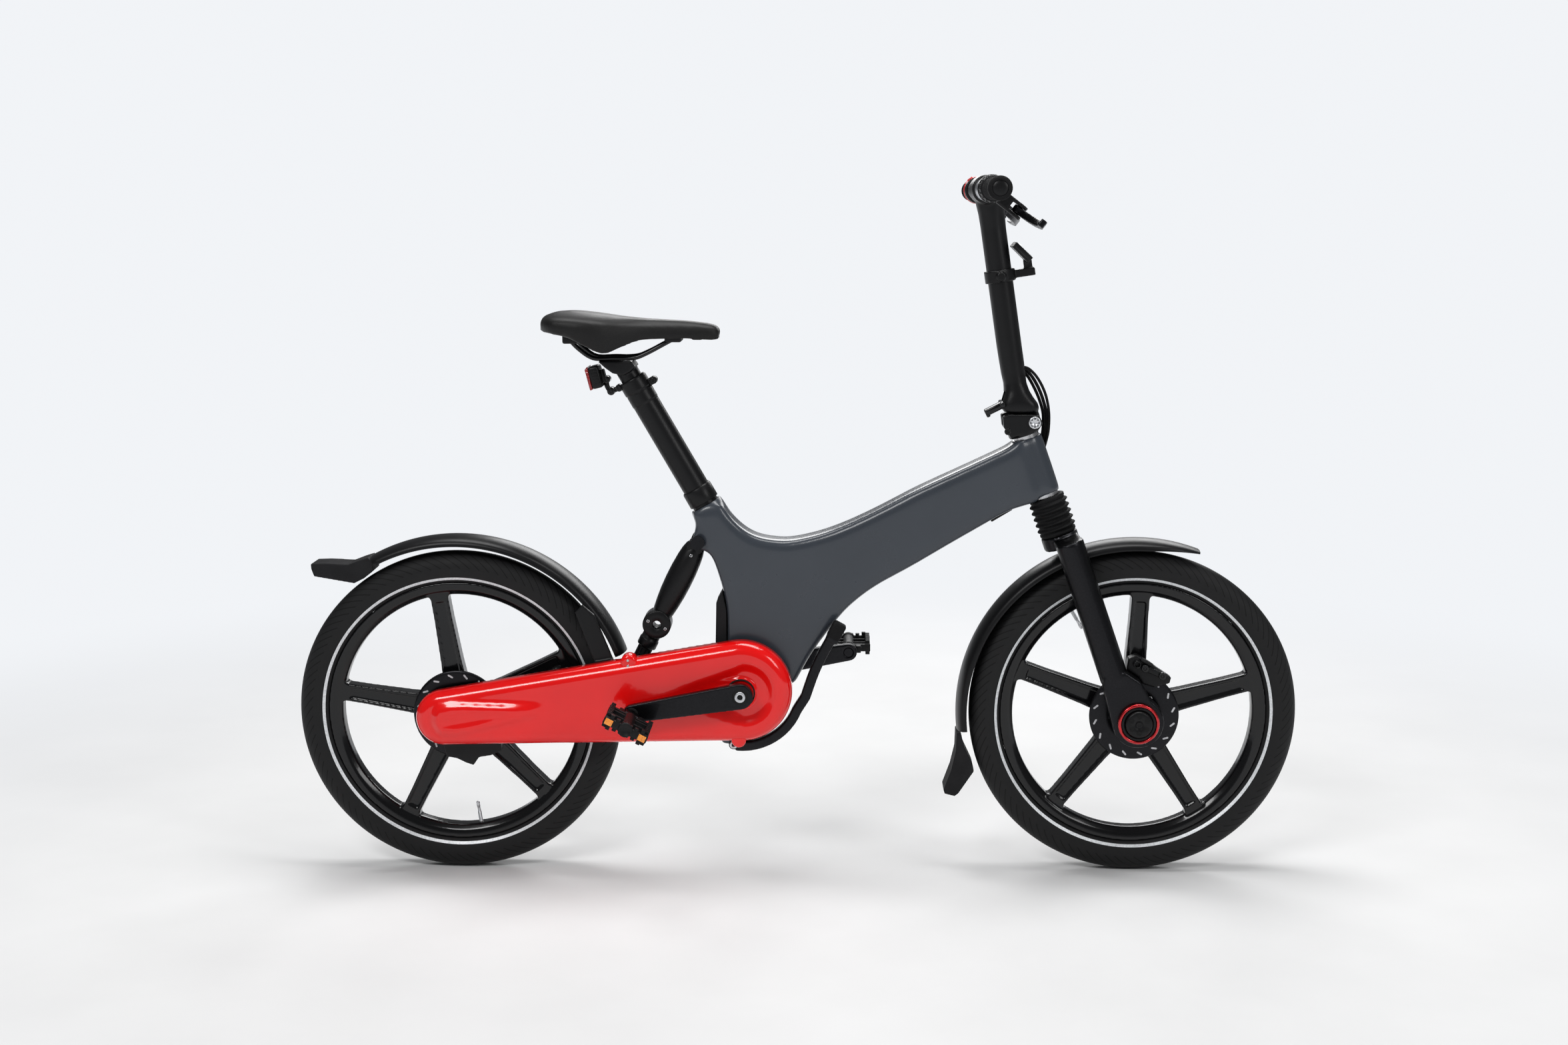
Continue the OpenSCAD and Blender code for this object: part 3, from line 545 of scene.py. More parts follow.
def case_face(point, edge_gap, outer, back):
    """Y of the chaincase's painted face at a point in the X-Z plane."""
    round_r = 0.020
    inset = max(0.0, round_r - edge_gap)
    y = outer + round_r - math.sqrt(max(0.0, round_r ** 2 - inset ** 2))
    y -= 0.0012 * step_between(edge_gap, 0.01, 0.06)
    dish = capsule_gap(point, CASE_FRONT + Vector((0.004, -0.002)),
                       CASE_FRONT + Vector((-0.062, -0.004)), 0.05, 0.026)
    y += 0.0065 * (1 - step_between(dish, -0.016, 0.003))
    hub = (point - CASE_FRONT).length
    y -= 0.0045 * (1 - step_between(hub, 0.021, 0.027))
    low = CASE_REAR + Vector((0.014, 0.001))
    bulge = capsule_gap(point, low, low + Vector((0.112, 0.012)), 0.027, 0.011)
    y -= 0.0068 * (1 - step_between(bulge, -0.008, 0.007))
    scoop = capsule_gap(point, low + Vector((-0.002, -0.004)), low + Vector((0.07, 0.004)), 0.012, 0.006)
    y += 0.003 * (1 - step_between(scoop, -0.010, 0.006))
    return min(y, back)


def build_chaincase(paint_red, steel, black):
    low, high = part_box("chaincase")
    outer, back = low.y + 0.0075, high.y
    count, rings = 72, 64
    n = len(belt_outline(CASE_FRONT_R, CASE_REAR_R, count))
    points = []
    for ring in range(rings + 1):
        t = (ring / rings) ** 1.15
        row = belt_outline(CASE_FRONT_R * (1 - t), CASE_REAR_R * (1 - t), count)
        for spot in row:
            gap = min(-capsule_gap(spot, CASE_FRONT, CASE_REAR, CASE_FRONT_R, CASE_REAR_R), 0.08)
            y = back if ring == 0 else case_face(spot, max(0.0, gap), outer, back)
            points.append((spot.x, y, spot.y))
    faces = ring_faces(rings, n, capped=False)
    start = len(points)
    inner = belt_outline(CASE_FRONT_R - 0.003, CASE_REAR_R - 0.003, count)
    points.extend((spot.x, back, spot.y) for spot in inner)
    points.extend((spot.x, outer + 0.02, spot.y) for spot in inner)
    for k in range(n):
        m = (k + 1) % n
        faces.append((k, start + k, start + m, m))
        faces.append((start + k, start + n + k, start + n + m, start + m))
    case = new_mesh("chaincase_shell", points, faces, paint_red, "swingarm")
    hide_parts("chaincase")
    boss = Vector((-0.256, 0, 0.350))
    knob = turned("chaincase_boss", round_ends(0.013, 0, 0.026, 0.006), paint_red, "swingarm",
                  boss + Vector((0, outer + 0.004, 0)), ALONG_Y_UP, 48)
    for k in range(3):
        place = boss + Vector((-0.001, outer + 0.0035, 0.004 - 0.0085 * k))
        head = y_disc(f"boss_bolt_{k}", place, 0.0021, -0.0012, 0.002, 0.0007, steel, "swingarm", 20)
    tail = y_disc("chaincase_tail", Vector((-0.086, outer, 0.2255)), 0.0115, 0.006, 0.022, 0.004, paint_red,
                  "swingarm", 40)
    # Flat dark ring at the crank: painted shade in the gap where the crank enters the case.
    case_gap_shade = turned("crank_case_gap_shade", [(0.0205, -0.003), (0.0215, -0.004), (0.0225, -0.003), (0.0225, 0.004),
                                 (0.0205, 0.004)], black, "swingarm",
                  CRANK + Vector((0, outer + 0.001, 0)), ALONG_Y_UP, 64, True)


# ---- wheels and tyres ----
def build_tyre(end, axle, body):
    """Tyre with its tread, and the reflective ring on each sidewall."""
    node = end + "_tyre"
    low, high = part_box(node)
    section = (high.y - low.y) / 2
    ring_r = (high.x - low.x) / 2 - section
    profile = []
    for k in range(65):
        angle = math.radians(-142 + 284 * k / 64)
        squash = 1 - 0.035 * math.exp(-(angle / 0.35) ** 2)
        bulge = section * (1 - 0.012 * math.cos(4 * angle))
        profile.append((ring_r + bulge * squash * math.cos(angle), bulge * 0.995 * math.sin(angle)))
    inner = [(ring_r + (section - 0.004) * math.cos(math.radians(138 - 276 * k / 32)),
              (section - 0.004) * math.sin(math.radians(138 - 276 * k / 32))) for k in range(33)]
    profile = [(min(radius, (high.x - low.x) / 2), along) for radius, along in profile]
    points, faces = lathe(profile + inner, 240, True, ALONG_Y_UP)
    tyre = new_mesh(end + "_tyre_tread", points, faces, tyre_material(end + "_tyre_rubber"), body,
                    place=axle)
    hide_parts(node)
    stripe = Tree("reflective_ring")
    tone = stripe.ramp(stripe.noise(300, 4), (0.62, 0.64, 0.66), (0.9, 0.92, 0.94))
    white = stripe.finish(tone, None, stripe.bump(stripe.cells(1800), 0.3, 0.0002), Roughness=0.35,
                          Metallic=0.15)
    for side in (-1, 1):
        band = []
        for k in range(5):
            radius = 0.2135 + 0.0042 * k / 4
            width = math.sqrt(max(0.0, section ** 2 - (radius - ring_r) ** 2))
            band.append((radius, side * (width + 0.0004)))
        points, faces = lathe(band, 240, False, ALONG_Y_UP)
        ring = new_mesh(f"{end}_reflective_ring_{hand(side)}", points, faces, white, body,
                        place=axle)


def build_valve(end, axle, angle, body, material):
    """Valve stem that stands up from the rim towards the hub."""
    out = Vector((math.cos(math.radians(angle)), 0, math.sin(math.radians(angle))))
    turn = Vector((0, 0, 1)).rotation_difference(-out).to_matrix().to_4x4()
    profile = [(CORE, 0), (0.0052, 0), (0.0055, 0.003), (0.0042, 0.0045), (0.003, 0.006), (0.003, 0.026),
               (0.0024, 0.0265), (0.0024, 0.034), (0.0029, 0.0345), (0.0029, 0.041), (0.0018, 0.0428),
               (CORE, 0.043)]
    valve = turned(end + "_valve", profile, material, body, axle + 0.1975 * out, turn, 24)


# ---- saddle ----
SADDLE = [
    # x, half width, top, widest edge, foot of the side skirt, drop of the middle channel
    (-0.3885, 0.0300, 0.8770, 0.8690, 0.8640, 0.0000),
    (-0.3830, 0.0520, 0.8845, 0.8690, 0.8610, 0.0005),
    (-0.3680, 0.0690, 0.8900, 0.8690, 0.8580, 0.0015),
    (-0.3430, 0.0760, 0.8905, 0.8680, 0.8520, 0.0025),
    (-0.3150, 0.0765, 0.8880, 0.8660, 0.8380, 0.0030),
    (-0.2880, 0.0700, 0.8845, 0.8640, 0.8275, 0.0030),
    (-0.2620, 0.0560, 0.8810, 0.8620, 0.8365, 0.0030),
    (-0.2350, 0.0430, 0.8785, 0.8610, 0.8465, 0.0025),
    (-0.2050, 0.0340, 0.8765, 0.8600, 0.8485, 0.0020),
    (-0.1700, 0.0270, 0.8748, 0.8590, 0.8480, 0.0015),
    (-0.1400, 0.0230, 0.8728, 0.8580, 0.8458, 0.0005),
    (-0.1210, 0.0195, 0.8696, 0.8570, 0.8455, 0.0000),
    (-0.1125, 0.0120, 0.8630, 0.8555, 0.8480, 0.0000),
]


def saddle_station(t):
    """Smoothed saddle values at t from 0 at the back to 1 at the nose."""
    rows = np.array(SADDLE)
    spot = t * (len(rows) - 1)
    i = min(int(spot), len(rows) - 2)
    return between(rows[max(i - 1, 0)], rows[i], rows[i + 1], rows[min(i + 2, len(rows) - 1)], spot - i)


def saddle_ring(t, across):
    """Cross-section of the saddle: crowned top, side skirts and a hollow underside."""
    x, half, top, edge, foot, drop = saddle_station(t)
    ring = []
    for k in range(across + 1):
        angle = math.pi * k / across
        side = math.cos(angle)
        dip = drop * math.exp(-(side / 0.28) ** 2)
        ring.append((x, half * side, edge + (top - edge) * math.sin(angle) ** 0.62 - dip))
    skirt = (0.25, 0.5, 0.75, 0.95)
    for u in skirt:
        ring.append((x, -half * (1 - 0.10 * u * u), edge + (foot - edge) * u))
    hollow = edge - 0.35 * (edge - foot)
    for k in range(13):
        side = -0.84 + 1.68 * k / 12
        ring.append((x, half * side, foot + (hollow - foot) * (1 - (abs(side) / 0.84) ** 4)))
    for u in skirt[::-1]:
        ring.append((x, half * (1 - 0.10 * u * u), edge + (foot - edge) * u))
    return ring


def build_saddle(cover, base_plastic, gloss):
    rows, across = 96, 44
    points = []
    for i in range(rows + 1):
        points.extend(saddle_ring(i / rows, across))
    ring = len(points) // (rows + 1)
    saddle = new_mesh("saddle_cover", points, ring_faces(rows, ring), cover, "seatpost_inner")
    saddle = inflate(saddle, 0.0035, 3.0, 0.002)
    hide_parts("saddle_cushion")
    build_saddle_base(base_plastic, gloss)


def inflate(piece, voxel, pressure, cap):
    """Swells a padded piece by cloth simulation, moving no point further than cap."""
    add_remesh(piece, voxel)
    apply_modifiers(piece)
    before = np.array([vert.co for vert in piece.data.vertices])
    cloth = piece.modifiers.new("cloth", "CLOTH")
    cloth.settings.use_pressure = True
    cloth.settings.uniform_pressure_force = pressure
    cloth.settings.effector_weights.gravity = 0
    cloth.settings.tension_stiffness = 40
    cloth.settings.bending_stiffness = 8
    cloth.settings.quality = 5
    scene = bpy.context.scene
    for number in range(1, 15):
        scene.frame_set(number)
    depsgraph = bpy.context.evaluated_depsgraph_get()
    after = np.array([vert.co for vert in piece.evaluated_get(depsgraph).data.vertices])
    piece.modifiers.clear()
    scene.frame_set(1)
    moved = after - before
    length = np.linalg.norm(moved, axis=1, keepdims=True)
    moved *= np.minimum(1.0, cap / np.maximum(length, 1e-9))
    for vert, place in zip(piece.data.vertices, before + moved):
        vert.co = place
    add_smooth(piece, 4)
    piece.modifiers.new("subdivide", "SUBSURF").levels = 1
    apply_modifiers(piece)
    piece.data.shade_smooth()
    return piece


def build_saddle_base(base_plastic, gloss):
    """Plastic pan inside the cover, its rail sockets, and the two round rails."""
    rows, points = 40, []
    for i in range(rows + 1):
        x, half, _, edge, foot, _ = saddle_station(0.04 + 0.92 * i / rows)
        for side, z in ((-0.82, foot + 0.0015), (-0.4, edge - 0.006), (0.4, edge - 0.006),
                        (0.82, foot + 0.0015), (0.82, edge - 0.001), (-0.82, edge - 0.001)):
            points.append((x, half * side, z))
    shell = new_mesh("saddle_pan", points, ring_faces(rows, 6), base_plastic, "seatpost_inner")
    shell.data.set_sharp_from_angle(angle=math.radians(40))
    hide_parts("saddle_base")
    for side in (-1, 1):
        back = block(f"rail_socket_back_{side + 1}", (-0.354, 0.026 * side - 0.008, 0.842),
                     (-0.326, 0.026 * side + 0.008, 0.862), 0.003, base_plastic, "seatpost_inner")
        nose = block(f"rail_socket_nose_{side + 1}", (-0.198, 0.015 * side - 0.006, 0.843),
                     (-0.172, 0.015 * side + 0.006, 0.858), 0.003, base_plastic, "seatpost_inner")
    for side in (-1, 1):
        y = 0.022 * side
        rail = tube(f"saddle_rail_{hand(side)}",
                    [(-0.345, 1.35 * y, 0.851), (-0.330, 1.1 * y, 0.834), (-0.308, y, 0.8195),
                     (-0.278, y, 0.819),
                     (-0.246, y, 0.8195), (-0.226, 0.95 * y, 0.8265), (-0.200, 0.8 * y, 0.840),
                     (-0.182, 0.6 * y, 0.8495)], 0.0036, gloss, "seatpost_inner", 14)


# ---- steering and cockpit ----
def along_steer(node):
    """Lowest and highest place of a node along the steering axis, from the joint's point."""
    reach = [(vert.co - STEER_POINT).dot(STEER_AXIS) for vert in NODES[node].data.vertices]
    return min(reach), max(reach)


def build_bellows(material):
    low, high = along_steer("bellows")
    folds = 5
    outer, inner = 0.0305, 0.0262
    profile = [(0.0195, low), (0.027, low), (0.0285, low + 0.002), (0.0285, low + 0.005)]
    top = high - 0.006
    start = low + 0.006
    for k in range(folds * 12 + 1):
        t = k / 12
        wave = (0.5 - 0.5 * math.cos(math.tau * t)) ** 1.4
        profile.append((inner + (outer - inner) * wave, start + (top - start) * t / folds))
    profile += [(0.0275, high - 0.005), (0.0275, high - 0.001), (0.0255, high), (0.0195, high)]
    bellows = turned("bellows_rubber", profile, material, None, STEER_POINT, STEER_TURN, 96, True)
    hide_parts("bellows")
    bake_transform(bellows)


def build_handlebar(silver, grip_rubber, black, red):
    bar = centre("handlebar")
    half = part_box("handlebar")[1].y - bar.y
    profile = [(CORE, -half)]
    for k in range(121):
        y = -half + 2 * half * k / 120
        swell = 1 - step_between(abs(y), 0.030, 0.098)
        profile.append((0.011 + 0.0075 * swell, y))
    profile.append((CORE, half))
    piece = turned("handlebar_tube", profile, silver, "stem", bar, ALONG_Y_UP, 64)
    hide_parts("handlebar")
    build_grips(bar, grip_rubber, black)
    build_shifter(bar, black, red)


def build_grips(bar, grip_rubber, black):
    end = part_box("grips")[1].y
    start = 0.178
    for side in (-1, 1):
        profile = [(0.0112, start + 0.0002), (0.0175, start + 0.0002), (0.0182, start + 0.0015),
                   (0.0182, start + 0.004), (0.0165, start + 0.0055)]
        steps = 26
        span = end - 0.012 - (start + 0.0055)
        for k in range(steps * 6 + 1):
            t = k / (steps * 6)
            body = 0.0158 + 0.0006 * math.cos(math.tau * (t - 0.1))
            rib = 0.00045 * max(0.0, math.sin(math.tau * steps * t)) ** 0.5
            profile.append((body + rib, start + 0.0055 + span * t))
        profile += [(0.0172, end - 0.0115), (0.0172, end - 0.004), (0.0160, end - 0.0012),
                    (0.0125, end - 0.0004), (0.0112, end - 0.0004)]
        grip = turned(f"grip_{hand(side)}", [(r, side * y) for r, y in profile], grip_rubber,
                      "stem", bar, ALONG_Y_UP, 72, True)
        plug = turned(f"end_cap_{hand(side)}",
                      [(CORE, side * end), (0.006, side * (end - 0.0002)),
                       (0.0105, side * (end - 0.001)),
                       (0.0124, side * (end - 0.0025)), (0.0124, side * (end - 0.006)),
                       (CORE, side * (end - 0.006))],
                      black, "stem", bar, ALONG_Y_UP, 48)
    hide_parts("grips")


def build_shifter(bar, black, red):
    """Ribbed twist shifter on the right and the red ring beside the left perch."""
    low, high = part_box("gear_shifter")
    inner, outer = high.y, low.y
    ribs = 18
    work_points, work_faces = [], []
    stations = [(0.0112, inner), (0.0195, inner), (0.0208, inner - 0.0012), (0.0208, inner - 0.010),
                (0.0196, inner - 0.011), (0.0188, inner - 0.0125), (0.0192, outer + 0.0025),
                (0.0182, outer), (0.0112, outer)]
    around = 216
    for i in range(around):
        angle = math.tau * i / around
        rib = 0.0011 * max(0.0, math.cos(ribs * angle)) ** 0.7
        for k, (radius, y) in enumerate(stations):
            r = radius + (rib if k in (5, 6) else 0)
            work_points.append((bar.x + r * math.cos(angle), y, bar.z + r * math.sin(angle)))
    count = len(stations)
    for i in range(around):
        a, b = i * count, ((i + 1) % around) * count
        for k in range(count):
            m = (k + 1) % count
            work_faces.append((a + k, b + k, b + m, a + m))
    twist = new_mesh("gear_shifter_twist", work_points, work_faces, black, "gear_shifter")
    twist.data.set_sharp_from_angle(angle=math.radians(40))
    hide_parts("gear_shifter")
    ring = turned("left_collar", [(0.0212, 0.1685), (0.0216, 0.1700), (0.0216, 0.1742), (0.0208, 0.1758),
                                  (0.0113, 0.1758), (0.0113, 0.1685)], red, "stem", bar, ALONG_Y_UP, 72,
                                  True)


def build_cables(material):
    """Hoses that loop in front of the fold, from the mast down to the frame."""
    routes = [
        (0.0026, [(0.343, 0.011, 0.796), (0.352, 0.011, 0.799), (0.363, 0.012, 0.794),
                  (0.375, 0.013, 0.778),
                  (0.386, 0.014, 0.754), (0.3925, 0.014, 0.728), (0.392, 0.014, 0.702),
                  (0.3885, 0.013, 0.682), (0.382, 0.012, 0.664), (0.376, 0.010, 0.655)]),
        (0.0024, [(0.343, 0.017, 0.793), (0.352, 0.017, 0.795), (0.362, 0.018, 0.788),
                  (0.372, 0.019, 0.772),
                  (0.382, 0.019, 0.750), (0.388, 0.019, 0.728), (0.388, 0.018, 0.704),
                  (0.385, 0.017, 0.684), (0.380, 0.015, 0.666), (0.374, 0.012, 0.655)]),
        (0.0022, [(0.343, 0.005, 0.798), (0.352, 0.004, 0.802), (0.364, 0.004, 0.799),
                  (0.378, 0.005, 0.784),
                  (0.390, 0.007, 0.760), (0.396, 0.009, 0.732), (0.396, 0.010, 0.704),
                  (0.392, 0.010, 0.684), (0.386, 0.009, 0.664), (0.380, 0.007, 0.650)]),
    ]
    for number, (radius, route) in enumerate(routes):
        hose = tube(f"hose_{number}", route, radius, material, None, 12, 6)
        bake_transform(hose)
        if number == 0:
            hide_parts("cable_loop")


# ---- small parts ----
def bolt(name, at, radius, out, body, material, head=0.0022, socket=True):
    """Socket-head bolt whose face looks along out."""
    turn = Vector((0, 0, 1)).rotation_difference(Vector(out).normalized()).to_matrix().to_4x4()
    hole = radius * 0.5
    profile = [(CORE, -0.001), (radius, -0.001), (radius, head * 0.7), (radius * 0.9, head)]
    if socket:
        profile += [(hole * 1.1, head), (hole, head * 0.9), (hole * 0.95, -0.0005), (CORE, -0.0005)]
    else:
        profile += [(radius * 0.4, head * 1.25), (CORE, head * 1.3)]
    piece = turned(name, profile, material, body, at, turn, 24)
    return piece


def build_hinge_pin(silver, painted_shade_black):
    """Stem hinge pin with a ring of small holes in each head, drawn as flat dark discs of painted shade."""
    low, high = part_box("stem_hinge_pin")
    axis = centre("stem_hinge_pin")
    for side in (-1, 1):
        face = Vector((axis.x, low.y if side < 0 else high.y, axis.z))
        profile = [(CORE, 0.0012), (0.0034, 0.0012), (0.0040, 0.0004), (0.0086, 0.0002),
                   (0.0094, 0.0010), (0.0095, 0.005), (CORE, 0.005)]
        turn = ALONG_Y_UP if side < 0 else ALONG_Y_DOWN
        head = turned(f"hinge_pin_head_{side + 1}", profile, silver, "steerer", face, turn, 64)
        for k in range(8):
            angle = math.tau * k / 8
            spot = face + Vector((0.0063 * math.cos(angle), 0, 0.0063 * math.sin(angle)))
            hole_shade = turned(f"hinge_hole_shade_{side + 1}_{k}", [(CORE, 0.00025), (0.0009, 0.00025),
                                                       (0.00115, 0.0),
                                                       (0.00115, 0.001), (CORE, 0.001)], painted_shade_black, "steerer",
                                                       spot,
                         turn, 16)
    shaft = y_disc("hinge_pin_shaft", Vector((axis.x, 0, axis.z)), 0.005, low.y + 0.004, high.y - 0.004,
                   0.0005, silver, "steerer", 32)
    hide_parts("stem_hinge_pin")


def build_front_axle(black, red, painted_shade_black):
    """Axle cap with six round recesses inside the red ring; the recesses are flat dark discs of painted shade."""
    low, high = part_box("front_axle")
    at = Vector((FRONT_AXLE.x, 0, FRONT_AXLE.z))
    cap = turned("front_axle_cap", [(CORE, low.y + 0.0012), (0.0065, low.y + 0.0012),
                                    (0.0075, low.y + 0.0002),
                                    (0.0185, low.y), (0.0205, low.y + 0.0015), (0.021, low.y + 0.004),
                                    (0.021, low.y + 0.010), (0.008, low.y + 0.010), (0.008, high.y - 0.003),
                                    (0.0145, high.y - 0.003), (0.015, high.y - 0.0025),
                                    (0.015, high.y - 0.0008),
                                    (0.0142, high.y), (CORE, high.y)], black, "fork", at, ALONG_Y_UP, 72)
    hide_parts("front_axle")
    for k in range(6):
        angle = math.tau * (k + 0.5) / 6
        spot = at + Vector((0.0132 * math.cos(angle), low.y, 0.0132 * math.sin(angle)))
        hole_shade = turned(f"axle_recess_shade_{k}", [(CORE, -0.0001), (0.0028, -0.0001), (0.0033, -0.0004),
                                          (0.0036, 0.0),
                                          (0.0036, 0.002), (CORE, 0.002)], painted_shade_black, "fork", spot,
                                          ALONG_Y_UP, 32)
    bolt("axle_centre_bolt", at + Vector((0, low.y + 0.0012, 0)), 0.0052, NEAR_SIDE, "fork", black, 0.0008)
    ring_low, ring_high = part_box("axle_ring")
    lip = turned("axle_ring_lip", [(0.0215, ring_low.y + 0.0022), (0.0225, ring_low.y + 0.0012),
                                   (0.0260, ring_low.y + 0.0012), (0.0268, ring_low.y + 0.0020),
                                   (0.0268, ring_high.y), (0.0215, ring_high.y)], black, "fork", at,
                                   ALONG_Y_UP, 96,
                 True)
    ring = turned("axle_ring_red", [(0.0270, ring_low.y + 0.0012), (0.0277, ring_low.y),
                                    (0.0303, ring_low.y),
                                    (0.0318, ring_low.y + 0.0016), (0.032, ring_low.y + 0.004),
                                    (0.032, ring_high.y), (0.0270, ring_high.y)], red, "fork", at,
                                    ALONG_Y_UP, 96, True)
    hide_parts("axle_ring")


def build_disc(end, axle, body, material, steel):
    """Brake disc cover with small bolts and a ring of slanted pale patches of painted light, the bright backdrop
    seen through its slots.
    """
    low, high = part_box(end + "_brake_disc")
    radius = (high.x - low.x) / 2
    shell = turned(end + "_disc_cover", [(0.0245, high.y), (0.0245, low.y), (0.045, low.y),
                                         (radius - 0.004, low.y),
                                         (radius - 0.0012, low.y + 0.0006), (radius, low.y + 0.0018),
                                         (radius, high.y)],
                   material, body, Vector((axle.x, 0, axle.z)), ALONG_Y_UP, 128, True)
    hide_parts(end + "_brake_disc")
    # Pale grey painted light: the backdrop seen through the slots, painted on the disc face.
    pale = Tree(end + "_slot_backdrop_light")
    tone = pale.ramp(pale.noise(60), (0.5, 0.5, 0.52), (0.66, 0.66, 0.68))
    slot_painted_light = pale.finish(tone, None, None, Roughness=0.5)
    for k in range(16):
        angle = math.tau * k / 16 + 0.16
        outline = []
        for middle, first in ((-0.0032, math.pi / 2), (0.0032, -math.pi / 2)):
            for i in range(17):
                a = math.pi * i / 16 + first
                outline.append((middle + 0.0014 * math.cos(a), 0.0014 * math.sin(a)))
        turn = angle + 0.9
        spots = []
        for x, z in outline:
            u = 0.0615 * math.cos(angle) + x * math.cos(turn) - z * math.sin(turn)
            v = 0.0615 * math.sin(angle) + x * math.sin(turn) + z * math.cos(turn)
            spots.append((axle.x + u, low.y - 0.00025, axle.z + v))
        slot_light_patch = new_mesh(f"{end}_slot_{k}", spots, [tuple(range(len(spots)))], slot_painted_light, body,
                         smooth=False)
        spot = Vector((axle.x + 0.038 * math.cos(angle + 0.3), low.y,
                       axle.z + 0.038 * math.sin(angle + 0.3)))
        if k % 2:
            finish = steel if k % 4 == 1 else material
            bolt(f"{end}_disc_bolt_{k}", spot, 0.0026, NEAR_SIDE, body, finish, 0.0012)


def build_shock(satin, rubber_dark, steel):
    """Rear shock: tapered sleeve, lock ring with its eye, collar and slotted elastomer."""
    ring_at = SHOCK_TOP + 0.150 * SHOCK_AXIS
    profile = [(CORE, 0.004), (0.010, 0.005), (0.0150, 0.012), (0.0178, 0.022), (0.0195, 0.035),
               (0.0208, 0.055), (0.0210, 0.075), (0.0203, 0.095), (0.0188, 0.112), (0.0170, 0.126),
               (0.0152, 0.137), (0.013, 0.139), (CORE, 0.140)]
    sleeve = turned("shock_sleeve", profile, satin, "shock_body", SHOCK_TOP, SHOCK_TURN, 72)
    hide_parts("shock_body")
    barrel = y_disc("shock_eye", SHOCK_TOP, 0.012, -0.013, 0.013, 0.0015, satin, "shock_body", 48)
    for side in (-1, 1):
        cheek = y_disc(f"shock_cheek_{side + 1}", SHOCK_TOP + 0.012 * SHOCK_AXIS, 0.0125,
                       side * 0.013 - 0.003, side * 0.013 + 0.003, 0.0014, satin, "shock_body", 48)
    bolt("shock_top_screw", SHOCK_TOP + 0.026 * SHOCK_AXIS + Vector((0, -0.0178, 0)), 0.0026, NEAR_SIDE,
         "shock_body", steel, 0.0014)
    eye = turned("shock_lock_ring", [(0.0066, -0.018), (0.0074, -0.0188), (0.0205, -0.0188),
                                     (0.0222, -0.0178),
                                     (0.0225, -0.0165), (0.0225, 0.0165), (0.0205, 0.018), (0.0066, 0.018)],
                 satin, "shock_body", ring_at, ALONG_Y_UP, 96, True)
    across = Vector((math.cos(math.radians(-25)), 0, math.sin(math.radians(-25))))
    for side in (-1, 1):
        bolt(f"lock_ring_screw_{side + 1}", ring_at + side * 0.0148 * across + Vector((0, -0.0186, 0)),
             0.0026, NEAR_SIDE, "shock_body", steel, 0.0008)
    collar = turned("shock_collar", [(0.0121, 0.158), (0.0138, 0.160), (0.0142, 0.178), (0.0152, 0.1785),
                                     (0.0156, 0.180), (0.0156, 0.1905), (0.0148, 0.1918), (0.0121, 0.1918)],
                                     satin,
                    "shock_body", SHOCK_TOP, SHOCK_TURN, 72, True)
    low, high = 0.183, 0.2155
    columns = 12
    points = []
    around, tall = columns * 12, 54
    for j in range(tall + 1):
        v = j / tall
        for i in range(around):
            u = (i / around * columns) % 1
            row = (v * 3.2) % 1
            gap = 1 if 0.3 < u < 0.7 and row > 0.2 and v > 0.12 else 0
            radius = 0.0119 - 0.0017 * gap
            angle = math.tau * i / around
            spot = Vector((radius * math.cos(angle), radius * math.sin(angle), low + (high - low) * v))
            points.append(SHOCK_TURN @ spot + SHOCK_TOP)
    elastomer = new_mesh("shock_elastomer", points, ring_faces(tall, around), rubber_dark, "shock_rod")
    elastomer.data.set_sharp_from_angle(angle=math.radians(40))
    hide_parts("shock_rod")
    foot = SHOCK_TOP + 0.2247 * SHOCK_AXIS
    lug = turned("shock_rod_eye", [(0.0061, -0.0118), (0.0105, -0.0118), (0.011, -0.0112), (0.011, 0.0112),
                                   (0.0105, 0.0118), (0.0061, 0.0118)], rubber_dark, "shock_rod", foot,
                                   ALONG_Y_UP, 48,
                 True)


